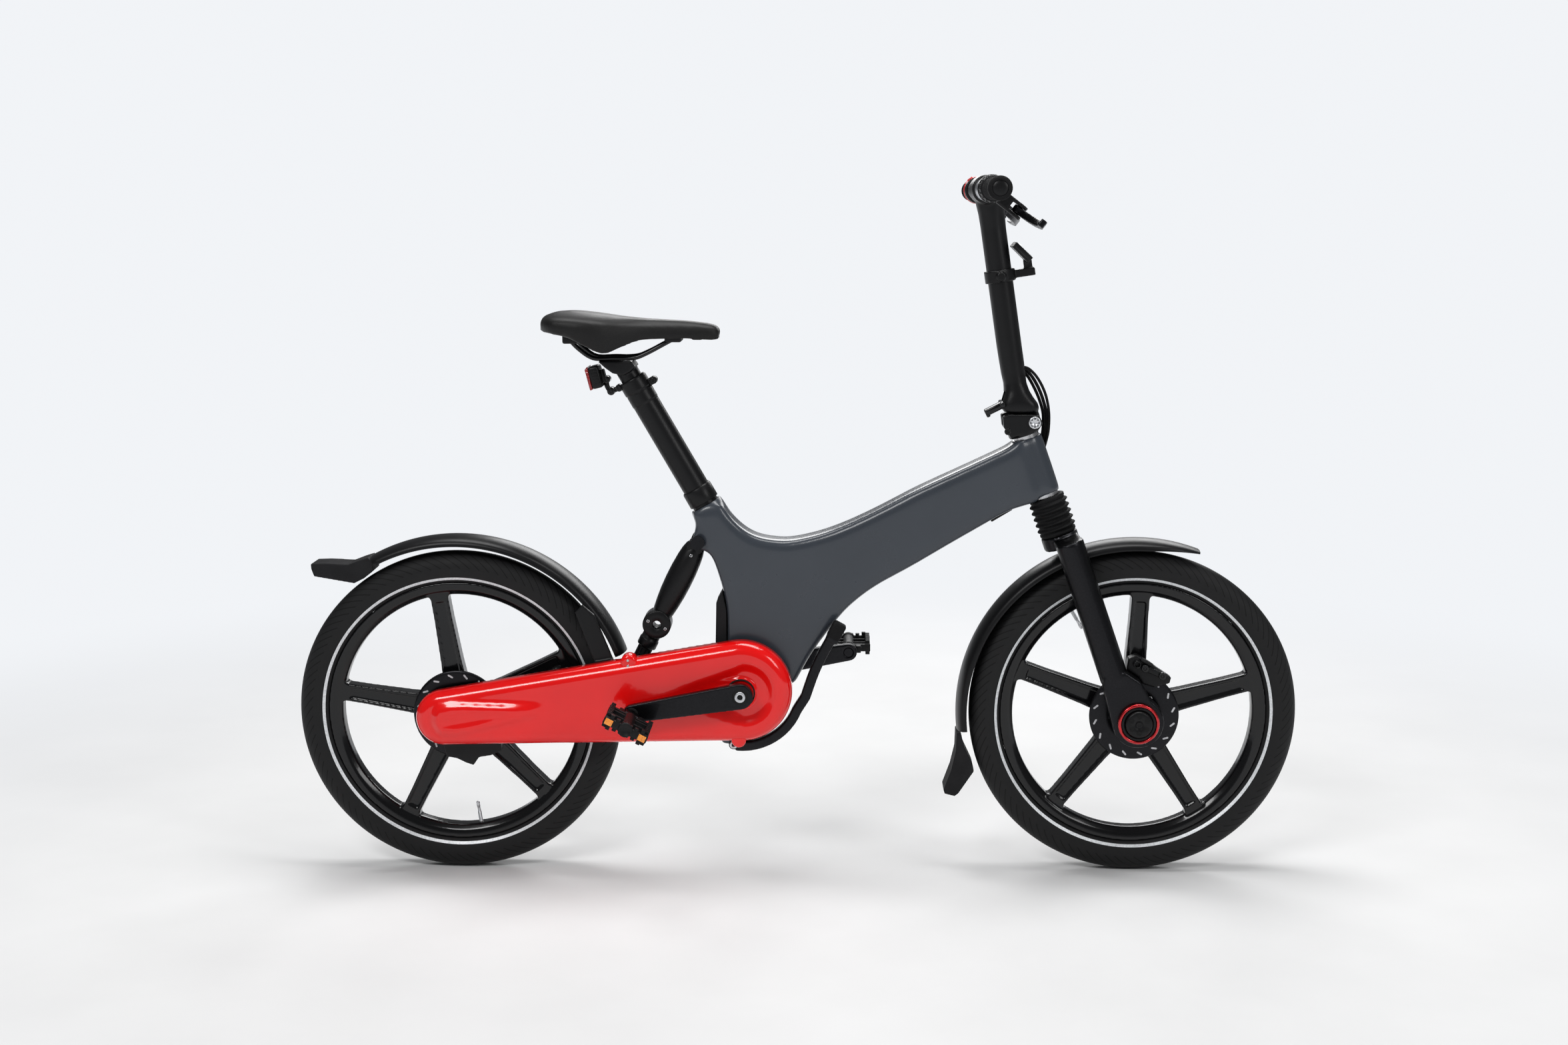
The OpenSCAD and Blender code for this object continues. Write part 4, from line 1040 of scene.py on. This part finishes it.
def build_pedal(side_name, body, plastic_black, amber):
    """Thin platform: a frame of bars with a round boss, stepped grip plates and corner reflectors."""
    fold = JOINTS["pedal_fold_" + side_name]
    along = Vector(fold["axis"]) * (-1 if side_name == "right" else 1)
    out = Vector((0, -1 if side_name == "right" else 1, 0))
    up = along.cross(out) * (-1 if side_name == "right" else 1)
    hinge = Vector(fold["pos_m"])
    basis = Matrix((along, out, up)).transposed().to_4x4()
    base = hinge - 0.0145 * out

    def part(name, low, high, edge=0.0012, material=plastic_black):
        piece = block(f"{name}_{side_name}", low, high, edge, material, body, basis, base)
        if basis.to_3x3().determinant() < 0:
            piece.data.flip_normals()
        return piece

    first = part("pedal_beam", (-0.036, 0.021, -0.0060), (0.036, 0.028, 0.0060))
    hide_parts("pedal_" + side_name)
    for end in (-1, 1):
        x0, x1 = sorted((end * 0.0275, end * 0.0355))
        part(f"pedal_rail_{end + 1}", (x0, 0.022, -0.0072), (x1, 0.0915, 0.0072))
        part(f"pedal_ear_{end + 1}", (min(end * 0.0118, end * 0.0205), 0.0088, -0.0058),
             (max(end * 0.0118, end * 0.0205), 0.0225, 0.0058))
        lens_x = sorted((end * 0.0215, end * 0.0335))
        part(f"pedal_reflector_{end + 1}", (lens_x[0], 0.0926, -0.0048), (lens_x[1], 0.0940, 0.0048),
             0.0004, amber)
        for high in (-1, 1):
            for k in range(8):
                y = 0.0250 + 0.0082 * k
                low_z, high_z = sorted((high * 0.0060, high * 0.0118))
                part(f"pedal_tooth_{end + 1}_{high + 1}_{k}", (x0 + 0.0005, y, low_z),
                     (x1 - 0.0005, y + 0.0040, high_z), 0.0008)
    part("pedal_outer_bar", (-0.036, 0.0868, -0.0062), (0.036, 0.0928, 0.0062), 0.0022)
    part("pedal_inner_bar", (-0.034, 0.0375, -0.0065), (0.034, 0.0410, 0.0065))
    part("pedal_mid_bar", (-0.034, 0.0610, -0.0065), (0.034, 0.0645, 0.0065))
    for high in (-1, 1):
        for k in range(6):
            x = -0.0255 + 0.0102 * k
            low_z, high_z = sorted((high * 0.0055, high * (0.0122 if k in (0, 5) else 0.0100)))
            part(f"pedal_step_{high + 1}_{k}", (x - 0.0032, 0.0850, low_z),
                 (x + 0.0032, 0.0922, high_z), 0.0008)
    barrel = turned(f"pedal_barrel_{side_name}", round_ends(0.0098, 0.024, 0.0890, 0.002), plastic_black,
                    body, base, basis @ ALONG_Y_UP, 48)
    boss = turned(f"pedal_boss_{side_name}", [(0.0, 0.084), (0.0112, 0.084), (0.0112, 0.0928),
                                              (0.0104, 0.0938),
                                              (0.0086, 0.0938), (0.0080, 0.0930), (0.0, 0.0930)],
                                              plastic_black, body,
                  base, basis @ ALONG_Y_UP, 48)


# ---- fenders ----
def build_fender(end, axle, body, material, start, stop, tapered):
    """Pressed fender with a rolled lip along both edges."""
    node = end + "_fender"
    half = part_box(node)[1].y
    spots = np.array([vert.co for vert in NODES[node].data.vertices])
    wide = spots[np.abs(spots[:, 1]) > half - 0.0005]
    edge_r = float(np.hypot(wide[:, 0] - axle.x, wide[:, 2] - axle.z).min())
    rise, thick = 0.0155, 0.0023
    crown_r = edge_r + rise
    shell, inside = [], []
    for k in range(41):
        u = -1 + 2 * k / 40
        lift = max(0.0, 1 - u * u) ** 0.45
        shell.append((edge_r + 0.0012 * (1 - lift) + rise * lift, (half - 0.0004) * u))
        inside.append((edge_r + 0.0004 + (rise - thick) * lift, (half - thick - 0.0004) * u))
    lip = [(edge_r, half - 0.0008), (edge_r - 0.0004, half - thick * 0.5)]
    profile = shell + lip + inside[::-1] + [(radius, -along) for radius, along in lip[::-1]]
    count = 150
    points = []
    for i in range(count + 1):
        angle = math.radians(start + (stop - start) * i / count)
        near = min(1.0, i / (0.16 * count)) if tapered else min(1.0, min(i, count - i) / 2.5)
        pull = 1 - (0.34 if tapered else 0.07) * (1 - near) ** 2
        depth = 1 - (0.72 * (1 - near) ** 1.5 if tapered else 0)
        for radius, along in profile:
            r = crown_r - (crown_r - radius) * depth
            points.append((axle.x + r * math.cos(angle), along * pull, axle.z + r * math.sin(angle)))
    faces = ring_faces(count, len(profile))
    piece = new_mesh(end + "_fender_shell", points, faces, material, body)
    piece.data.set_sharp_from_angle(angle=math.radians(50))
    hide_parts(node)
    return crown_r


def build_fender_bracket(crown_r, black, steel):
    """Block between the fork crown and the front fender, and its bolt."""
    spot = STEER_POINT + STEER_AXIS * ((FRONT_AXLE - STEER_POINT).dot(STEER_AXIS))
    reach = math.sqrt(max(0.0, crown_r ** 2 - (FRONT_AXLE - spot).length ** 2))
    place = spot + reach * STEER_AXIS
    piece = block("front_fender_bracket", (-0.004, -0.012, -0.004), (0.016, 0.012, 0.0145), 0.0025, black,
                  "fork", STEER_TURN, place)
    bolt("fender_bracket_bolt", place + Vector((0.004, -0.0118, 0.0062)), 0.0042, NEAR_SIDE, "fork", steel)


# ---- lamps and reflectors ----
def build_front_reflector(black, clear):
    softened("reflector_bracket", black, 0.0012, 5)
    bevelled("reflector_lens", clear, 0.0022)
    low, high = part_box("reflector_lens")
    rim_turn = along_mast() @ Matrix.Rotation(math.radians(-37), 4, "Y")
    middle = (low + high) / 2
    sides = (("top", -0.0262, 0.0262, 0.0148, 0.0172), ("foot", -0.0262, 0.0262, -0.0172, -0.0148),
             ("right", -0.0268, -0.0246, -0.0172, 0.0172), ("left", 0.0246, 0.0268, -0.0172, 0.0172))
    for name, y0, y1, z0, z1 in sides:
        rim = block("reflector_rim_" + name, (-0.0044, y0, z0), (0.0022, y1, z1), 0.0008, black, "stem",
                    rim_turn, middle)


def along_mast():
    bar = centre("handlebar")
    foot = Vector((0.346, 0, 0.745))
    return Vector((0, 0, 1)).rotation_difference((bar - foot).normalized()).to_matrix().to_4x4()


# ---- frame, fork, cranks and the rest of the cast parts ----
def build_cranks(black, silver, painted_shade_black):
    for side_name, sign in (("right", -1), ("left", 1)):
        node = "crank_" + side_name
        softened(node, black, 0.0016, 7)
        low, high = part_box(node)
        face = low.y if sign < 0 else high.y
        out = (0, sign, 0)
        hub = Vector((CRANK.x, face, CRANK.z))
        bolt(f"crank_bolt_{side_name}", hub, 0.0085, out, "crankset", silver, 0.0026)
        # Flat dark discs under the bolt and at the crank tip: painted shade in the gaps there.
        bolt(f"crank_bolt_gap_shade_{side_name}", hub, 0.0125, out, "crankset", painted_shade_black, 0.0006, False)
        tip = joint_place("pedal_spin_" + side_name)
        bolt(f"crank_tip_gap_shade_{side_name}", Vector((tip.x, face, tip.z)), 0.0105, out, "crankset", painted_shade_black,
             0.0006, False)


def build_kickstand(black, foot_rubber, steel):
    softened("kickstand", black, 0.0018, 6)
    low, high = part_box("kickstand")
    turn = Matrix.Rotation(math.radians(29), 4, "Y")
    place = Vector((high.x - 0.0155, (low.y + high.y) / 2, high.z - 0.0175))
    foot = block("kickstand_foot", (-0.0108, (low.y - high.y) / 2 - 0.0006, -0.0125),
                 (0.0108, (high.y - low.y) / 2 + 0.0006, 0.0165), 0.0042, foot_rubber, "kickstand", turn,
                 place)
    pivot = joint_place("kickstand_swing")
    bolt("kickstand_pivot_bolt", Vector((pivot.x, low.y - 0.0006, pivot.z)), 0.0062,
         NEAR_SIDE, "frame", steel, 0.0018)


def merge(name, pieces):
    """One object out of several closed meshes."""
    points, faces = [], []
    for piece_points, piece_faces in pieces:
        start = len(points)
        points.extend(piece_points)
        faces.extend(tuple(start + k for k in face) for face in piece_faces)
    mesh = bpy.data.meshes.new(name)
    mesh.from_pydata(points, [], faces)
    piece = add_object(name, mesh)
    tidy_normals(mesh)
    return piece


def loft(rings):
    """Points and faces of a closed skin through rings of equal length."""
    return [point for ring in rings for point in ring], ring_faces(len(rings) - 1, len(rings[0]))


MAST = [
    # height, back edge, front edge, half width, squareness
    (0.7330, 0.3270, 0.3730, 0.0200, 3.4),
    (0.7350, 0.3235, 0.3775, 0.0232, 3.8),
    (0.7400, 0.3210, 0.3795, 0.0248, 4.0),
    (0.7480, 0.3212, 0.3768, 0.0248, 3.8),
    (0.7560, 0.3232, 0.3705, 0.0236, 3.2),
    (0.7660, 0.3250, 0.3645, 0.0214, 2.6),
    (0.7780, 0.3240, 0.3600, 0.0196, 2.2),
    (0.7920, 0.3205, 0.3580, 0.0192, 2.0),
    (0.8100, 0.3172, 0.3558, 0.0193, 2.0),
    (0.8350, 0.3129, 0.3519, 0.0194, 2.0),
    (1.0150, 0.2863, 0.3253, 0.0194, 2.0),
    (1.0350, 0.2828, 0.3232, 0.0205, 2.1),
    (1.0560, 0.2775, 0.3220, 0.0222, 2.4),
    (1.0740, 0.2740, 0.3100, 0.0230, 2.6),
]


def build_mast(satin):
    """Stem mast: round tube that swells into the clamp above and the hinge block below."""
    rings = []
    turn = [math.tau * k / 48 for k in range(48)]
    for z, back, front, half, square in MAST:
        middle, reach = (back + front) / 2, (front - back) / 2
        ring = []
        for angle in turn:
            c, v = math.cos(angle), math.sin(angle)
            ring.append((middle + reach * math.copysign(abs(c) ** (2 / square), c),
                         half * math.copysign(abs(v) ** (2 / square), v), z))
        rings.append(ring)
    bar = centre("handlebar")
    barrel = [[(bar.x + 0.0218 * math.cos(angle), y, bar.z + 0.0218 * math.sin(angle)) for angle in turn]
              for y in (-0.0415, 0.0415)]
    hinge = joint_place("stem_fold")
    knuckle = [[(hinge.x + 0.0095 * math.cos(math.tau * k / 32), y,
                 hinge.z + 0.004 + (0.0095 if math.sin(math.tau * k / 32) < 0 else 0.016)
                 * math.sin(math.tau * k / 32)) for k in range(32)] for y in (-0.0145, 0.0145)]
    mast = merge("stem_mast_skin", [loft(rings), loft(barrel), loft(knuckle)])
    slot = merge("mast_slot", [loft([[(0.300, y, 0.725), (0.335, y, 0.725), (0.335, y, 0.7655),
                                      (0.300, y, 0.7655)]
                                     for y in (-0.0115, 0.0115)])])
    add_remesh(mast, 0.0015)
    add_smooth(mast, 14)
    cut = mast.modifiers.new("cut", "BOOLEAN")
    cut.operation = "DIFFERENCE"
    cut.object = slot
    apply_modifiers(mast)
    bpy.data.objects.remove(slot)
    mast.data.shade_smooth()
    mast.data.set_sharp_from_angle(angle=math.radians(50))
    finish_copy(mast, "stem_mast", satin)


def build_latch(gloss):
    """Thin latch blade on its cross pin."""
    pivot = Vector((0.322, 0, 0.746))
    lean = Matrix.Rotation(math.radians(-27), 4, "Y")
    blade = block("latch_blade", (-0.0295, -0.0095, -0.0070), (0.004, 0.0095, 0.0034), 0.0024, gloss,
                  BODY_OF["latch_lever"], lean, pivot)
    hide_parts("latch_lever")
    tip = block("latch_tip", (-0.0295, -0.0095, -0.0092), (-0.0235, 0.0095, -0.0030), 0.0018, gloss,
                BODY_OF["latch_lever"], lean, pivot)
    bolt("lobe_bolt", (0.3300, -0.0258, 0.7050), 0.0052, NEAR_SIDE, "steerer", gloss, 0.0014)
    pin = y_disc("latch_pin", pivot, 0.0037, -0.0255, 0.0255, 0.0006, gloss, BODY_OF["latch_lever"], 32)


SEAT_MOUTH = Vector((-0.139, 0, 0.590))
SEAT_TURN = Matrix.Rotation(math.radians(-29.8), 4, "Y")


def build_seat_post(satin, gloss):
    """Outer seat post with its top ring and small clamp lug, and the ring where it enters the frame."""
    body = BODY_OF["seatpost_outer"]
    post = turned("seatpost_outer_skin", [
        (0.0176, -0.110), (0.0205, -0.110), (0.0210, -0.1095), (0.0210, -0.107), (0.0210, 0.1810),
        (0.0210, 0.1835),
        (0.0215, 0.1840), (0.0217, 0.1850), (0.0217, 0.1870), (0.0217, 0.2000), (0.0217, 0.2020),
        (0.0213, 0.2030),
        (0.0213, 0.2040), (0.0224, 0.2050), (0.0226, 0.2065), (0.0226, 0.2085), (0.0226, 0.2215),
        (0.0226, 0.2235),
        (0.0218, 0.2255), (0.0200, 0.2260), (0.0176, 0.2260), (0.0176, 0.2200), (0.0176, -0.1050)], satin,
        body, SEAT_MOUTH, SEAT_TURN, 96, True)
    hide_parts("seatpost_outer")
    for side in (-1, 1):
        low_y, high_y = sorted((side * 0.0012, side * 0.0085))
        lug = block(f"post_lug_{side + 1}", (0.0195, low_y, 0.2015), (0.0290, high_y, 0.2130), 0.0022,
                    satin, body, SEAT_TURN, SEAT_MOUTH)
    spot = SEAT_MOUTH + SEAT_TURN @ Vector((0.0285, 0, 0.2072))
    eye = y_disc("post_lug_eye", Vector((spot.x, 0, spot.z)), 0.0060, -0.0088, 0.0088, 0.0012, satin, body,
                 40)
    bolt("post_lug_bolt", (spot.x, -0.0088, spot.z), 0.0038, NEAR_SIDE, body, gloss, 0.0012)
    ring = turned("seat_ring", [(0.0214, 0.003), (0.0236, 0.003), (0.0240, 0.0040), (0.0238, 0.0265),
                                (0.0226, 0.0288),
                                (0.0214, 0.0290)], satin, BODY_OF["seat_sleeve"], SEAT_MOUTH, SEAT_TURN, 96,
                                True)
    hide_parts("seat_sleeve")


def build_rear_light(satin, gloss):
    """Ribbed lamp housing on a two-piece hinged bracket."""
    body = BODY_OF["rear_light"]
    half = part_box("rear_light")[1].y - 0.0008
    base = Vector((-0.3100, 0, 0.7700))
    turn = Matrix.Rotation(math.radians(-14), 4, "Y")
    shell = block("rear_light_shell", (0.0005, -half, 0.0005), (0.0170, half, 0.0350), 0.0035, satin, body,
                  turn, base)
    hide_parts("rear_light")

    def piece(name, low_corner, high_corner, edge):
        made = block(name, low_corner, high_corner, edge, satin, body, turn, base)

    for side in (-1, 1):
        for k in range(5):
            low_y, high_y = sorted((side * (half - 0.001), side * (half + 0.0007)))
            piece(f"rear_light_rib_{side + 1}_{k}", (0.0045, low_y, 0.0070 + 0.0048 * k),
                  (0.0150, high_y, 0.0092 + 0.0048 * k), 0.0003)
    piece("rear_light_back", (0.0150, -0.0110, 0.0060), (0.0225, 0.0110, 0.0270), 0.0025)
    barrels = (("low", (-0.2830, 0.7668), 0.0062, 0.0095), ("high", (-0.2895, 0.7850), 0.0056, 0.0100),
               ("post", (-0.2705, 0.7718), 0.0058, 0.0080))
    for name, spot, radius, reach in barrels:
        barrel = y_disc(f"light_barrel_{name}", Vector((spot[0], 0, spot[1])), radius, -reach, reach, 0.001,
                        gloss, body, 36)
        bolt(f"light_bolt_{name}", (spot[0], -reach, spot[1]), 0.0034, NEAR_SIDE, body, satin, 0.001)
    link = tube("light_link", [(-0.2905, 0, 0.7860), (-0.2900, 0, 0.7745), (-0.2835, 0, 0.7670),
                               (-0.2705, 0, 0.7715), (-0.2625, 0, 0.7745)], 0.0040, satin, body, 16)


def build_caliper_details(gloss, satin):
    """Actuating arm, cable barrel, spring and bolts on the front caliper."""
    body = BODY_OF["front_caliper"]
    arm = block("caliper_arm", (-0.020, -0.0525, -0.0045), (0.020, -0.0470, 0.0045), 0.0015, satin, body,
                Matrix.Rotation(math.radians(22), 4, "Y"), (0.560, 0, 0.332))
    for number, spot in enumerate(((0.5450, 0.3385), (0.5720, 0.3265))):
        head = y_disc(f"caliper_head_{number}", Vector((spot[0], 0, spot[1])), 0.0058, -0.0555, -0.0440,
                      0.0012, gloss, body, 32)
        bolt(f"caliper_bolt_{number}", (spot[0], -0.0555, spot[1]), 0.0032, NEAR_SIDE, body, satin, 0.001)
    coil = []
    for k in range(33):
        angle = math.tau * k / 8
        coil.append((0.5330 + 0.0050 * math.cos(angle), -0.0465 - 0.0002 * k,
                     0.3440 + 0.0050 * math.sin(angle)))
    spring = tube("caliper_spring", coil, 0.0008, gloss, body, 8, 3)
    stop = tube("caliper_barrel", [(0.5385, -0.0500, 0.3520), (0.5480, -0.0500, 0.3470),
                                   (0.5560, -0.0500, 0.3430)],
                0.0030, satin, body, 14)


def build_cast_parts(slate, gloss, satin, coarse, black_metal):
    softened("frame", slate, 0.0025, 120)
    softened("steerer", satin, 0.0015, 9)
    build_mast(satin)
    build_latch(gloss)
    for nodes, material, voxel, passes in (
            (("fork",), black_metal, 0.0022, 9), (("rear_cover",), coarse, 0.0020, 8),
            (("brake_perches",), satin, 0.0013, 5),
            (("brake_lever_right", "brake_lever_left"), black_metal, 0.0011, 6),
            (("front_caliper", "rear_caliper"), satin, 0.0014, 5),
            (("front_mudflap", "rear_mudflap"), coarse, 0.0014, 4),
            (("chaincase_back",), satin, 0.0020, 4),
            (("front_wheel", "rear_wheel"), gloss, 0.0016, 12),
            (("seatpost_inner",), satin, 0.0013, 4)):
        for node in nodes:
            softened(node, material, voxel, passes)
    build_seat_post(satin, gloss)
    build_rear_light(satin, gloss)
    build_caliper_details(gloss, satin)
    for node in ("front_hub", "rear_hub"):
        bevelled(node, black_metal, 0.0009)
    bevelled("cable_port_cover", satin, 0.0016)


def dress(node, material):
    """Puts a material on a CAD node that is shown as it is."""
    mesh = NODES[node].data
    mesh.materials.clear()
    mesh.materials.append(material)
    for polygon in mesh.polygons:
        polygon.material_index = 0


# ---- the whole object ----
def build_all():
    slate = paint("slate_paint", (0.040, 0.047, 0.058), 0.28, 0.35, 0.15)
    red_gloss = paint("red_gloss", (0.84, 0.004, 0.004), 0.16, 0.6)
    gloss = paint("black_gloss", (0.0035, 0.0035, 0.004), 0.16, 0.16)
    fender_black = plastic("fender_black", (0.004, 0.004, 0.0045), 0.36, 900, 0.0)
    satin = plastic("black_satin", (0.0045, 0.0045, 0.005), 0.36, 900, 0.1)
    moulded = plastic("black_moulded", (0.005, 0.005, 0.0055), 0.46, 500, 0.3)
    coarse = rubber("mud_rubber", (0.013, 0.013, 0.014), 0.7, 300)
    soft = rubber("soft_rubber_black", (0.006, 0.006, 0.0065), 0.68, 420)
    grip = rubber("grip_rubber", (0.007, 0.007, 0.0075), 0.74, 700)
    black_metal = metal("anodised_black", (0.018, 0.018, 0.02), 0.34, 0.12)
    silver = metal("handlebar_silver", (0.62, 0.63, 0.65), 0.34, 0.1)
    steel = metal("bolt_steel", (0.6, 0.6, 0.61), 0.26)
    red_metal = metal("anodised_red", (0.55, 0.02, 0.025), 0.25, 0.6)
    amber = lens("amber_reflector", (0.9, 0.28, 0.02))
    red_lens = lens("red_lamp", (0.3, 0.006, 0.008), 0.15)
    clear = lens("clear_reflector", (0.78, 0.8, 0.82), 0.25)
    cover = leather("saddle_skin", (0.005, 0.0048, 0.0048))
    # Flat black used as painted shade in holes, recesses and gaps.
    painted_shade_black = plastic("deep_shadow_black", (0.006, 0.006, 0.006), 0.7, 300, 0.1)

    build_cast_parts(slate, gloss, satin, coarse, black_metal)
    build_chaincase(red_gloss, steel, painted_shade_black)
    for end, axle, body in (("front", FRONT_AXLE, "front_wheel"), ("rear", REAR_AXLE, "rear_wheel")):
        build_tyre(end, axle, body)
        build_disc(end, axle, body, black_metal, steel)
    build_valve("front", FRONT_AXLE, 121, "front_wheel", silver)
    build_valve("rear", REAR_AXLE, -82, "rear_wheel", silver)
    crown_r = build_fender("front", FRONT_AXLE, "fork", fender_black, 69, 186, True)
    build_fender("rear", REAR_AXLE, "swingarm", fender_black, 20, 118, False)
    build_fender_bracket(crown_r, gloss, steel)
    build_saddle(cover, moulded, gloss)
    build_bellows(soft)
    build_handlebar(silver, grip, satin, red_gloss)
    build_cables(soft)
    build_hinge_pin(silver, painted_shade_black)
    build_front_axle(satin, red_metal, painted_shade_black)
    build_shock(satin, soft, steel)
    for side_name in ("right", "left"):
        build_pedal(side_name, "pedal_" + side_name, moulded, amber)
    build_front_reflector(satin, clear)
    bevelled("rear_light_lens", red_lens, 0.0012)
    build_cranks(black_metal, silver, painted_shade_black)
    build_kickstand(black_metal, soft, steel)
    plain = {"battery_pack": moulded, "frame_bearings": steel, "pivot_pins": black_metal, "chain": steel,
             "rear_axle": steel, "rear_sprocket": steel, "chainring": steel,
             "pedal_spindle_right": black_metal,
             "pedal_spindle_left": black_metal, "boost_button": red_gloss}
    for node, material in plain.items():
        dress(node, material)


def add_floor():
    """Pale floor that brightens to the white of the surround with distance."""
    size = 14
    floor = add_object("studio_floor", bpy.data.meshes.new("studio_floor"))
    corners = [(-size, -size, 0), (size, -size, 0), (size, size, 0), (-size, size, 0)]
    floor.data.from_pydata(corners, [], [(0, 1, 2, 3)])
    tree = Tree("pale_floor")
    spot = tree.add("ShaderNodeVectorMath", operation="LENGTH")
    tree.link(tree.coords(), spot.inputs[0])
    far = tree.add("ShaderNodeMapRange", interpolation_type="SMOOTHSTEP")
    tree.link(spot.outputs["Value"], far.inputs["Value"])
    far.inputs["From Min"].default_value = 0.9
    far.inputs["From Max"].default_value = 2.6
    tone = tree.ramp(tree.noise(3, 4), (0.76, 0.76, 0.76), (0.8, 0.8, 0.8))
    shaded = tree.add("ShaderNodeMix", data_type="RGBA")
    tree.link(far.outputs["Result"], shaded.inputs["Factor"])
    tree.link(tone, shaded.inputs[6])
    shaded.inputs[7].default_value = (0, 0, 0, 1)
    glow = tree.math("MULTIPLY", far.outputs["Result"], 0.93)
    tree.shader.inputs["Emission Color"].default_value = (0.95, 0.97, 1.0, 1)
    tree.link(glow, tree.shader.inputs["Emission Strength"])
    pale = tree.finish(shaded.outputs[2], None, None, Roughness=0.7, Specular_IOR_Level=0.0)
    floor.data.materials.append(pale)


build_all()
add_floor()
add_camera()
add_world()
area_light("key", (-1.5, -2.6, 2.9), (0, 0, 0.4), (1.6, 0.7), 52)
area_light("fill", (2.6, -2.4, 2.2), (0, 0, 0.5), (0.9, 1.4), 26)
area_light("top", (0.1, 0.2, 3.4), (0, 0, 0.3), (3.2, 1.0), 88)
area_light("back", (0.6, 3.0, 2.0), (0, 0, 0.5), (2.6, 1.0), 48)
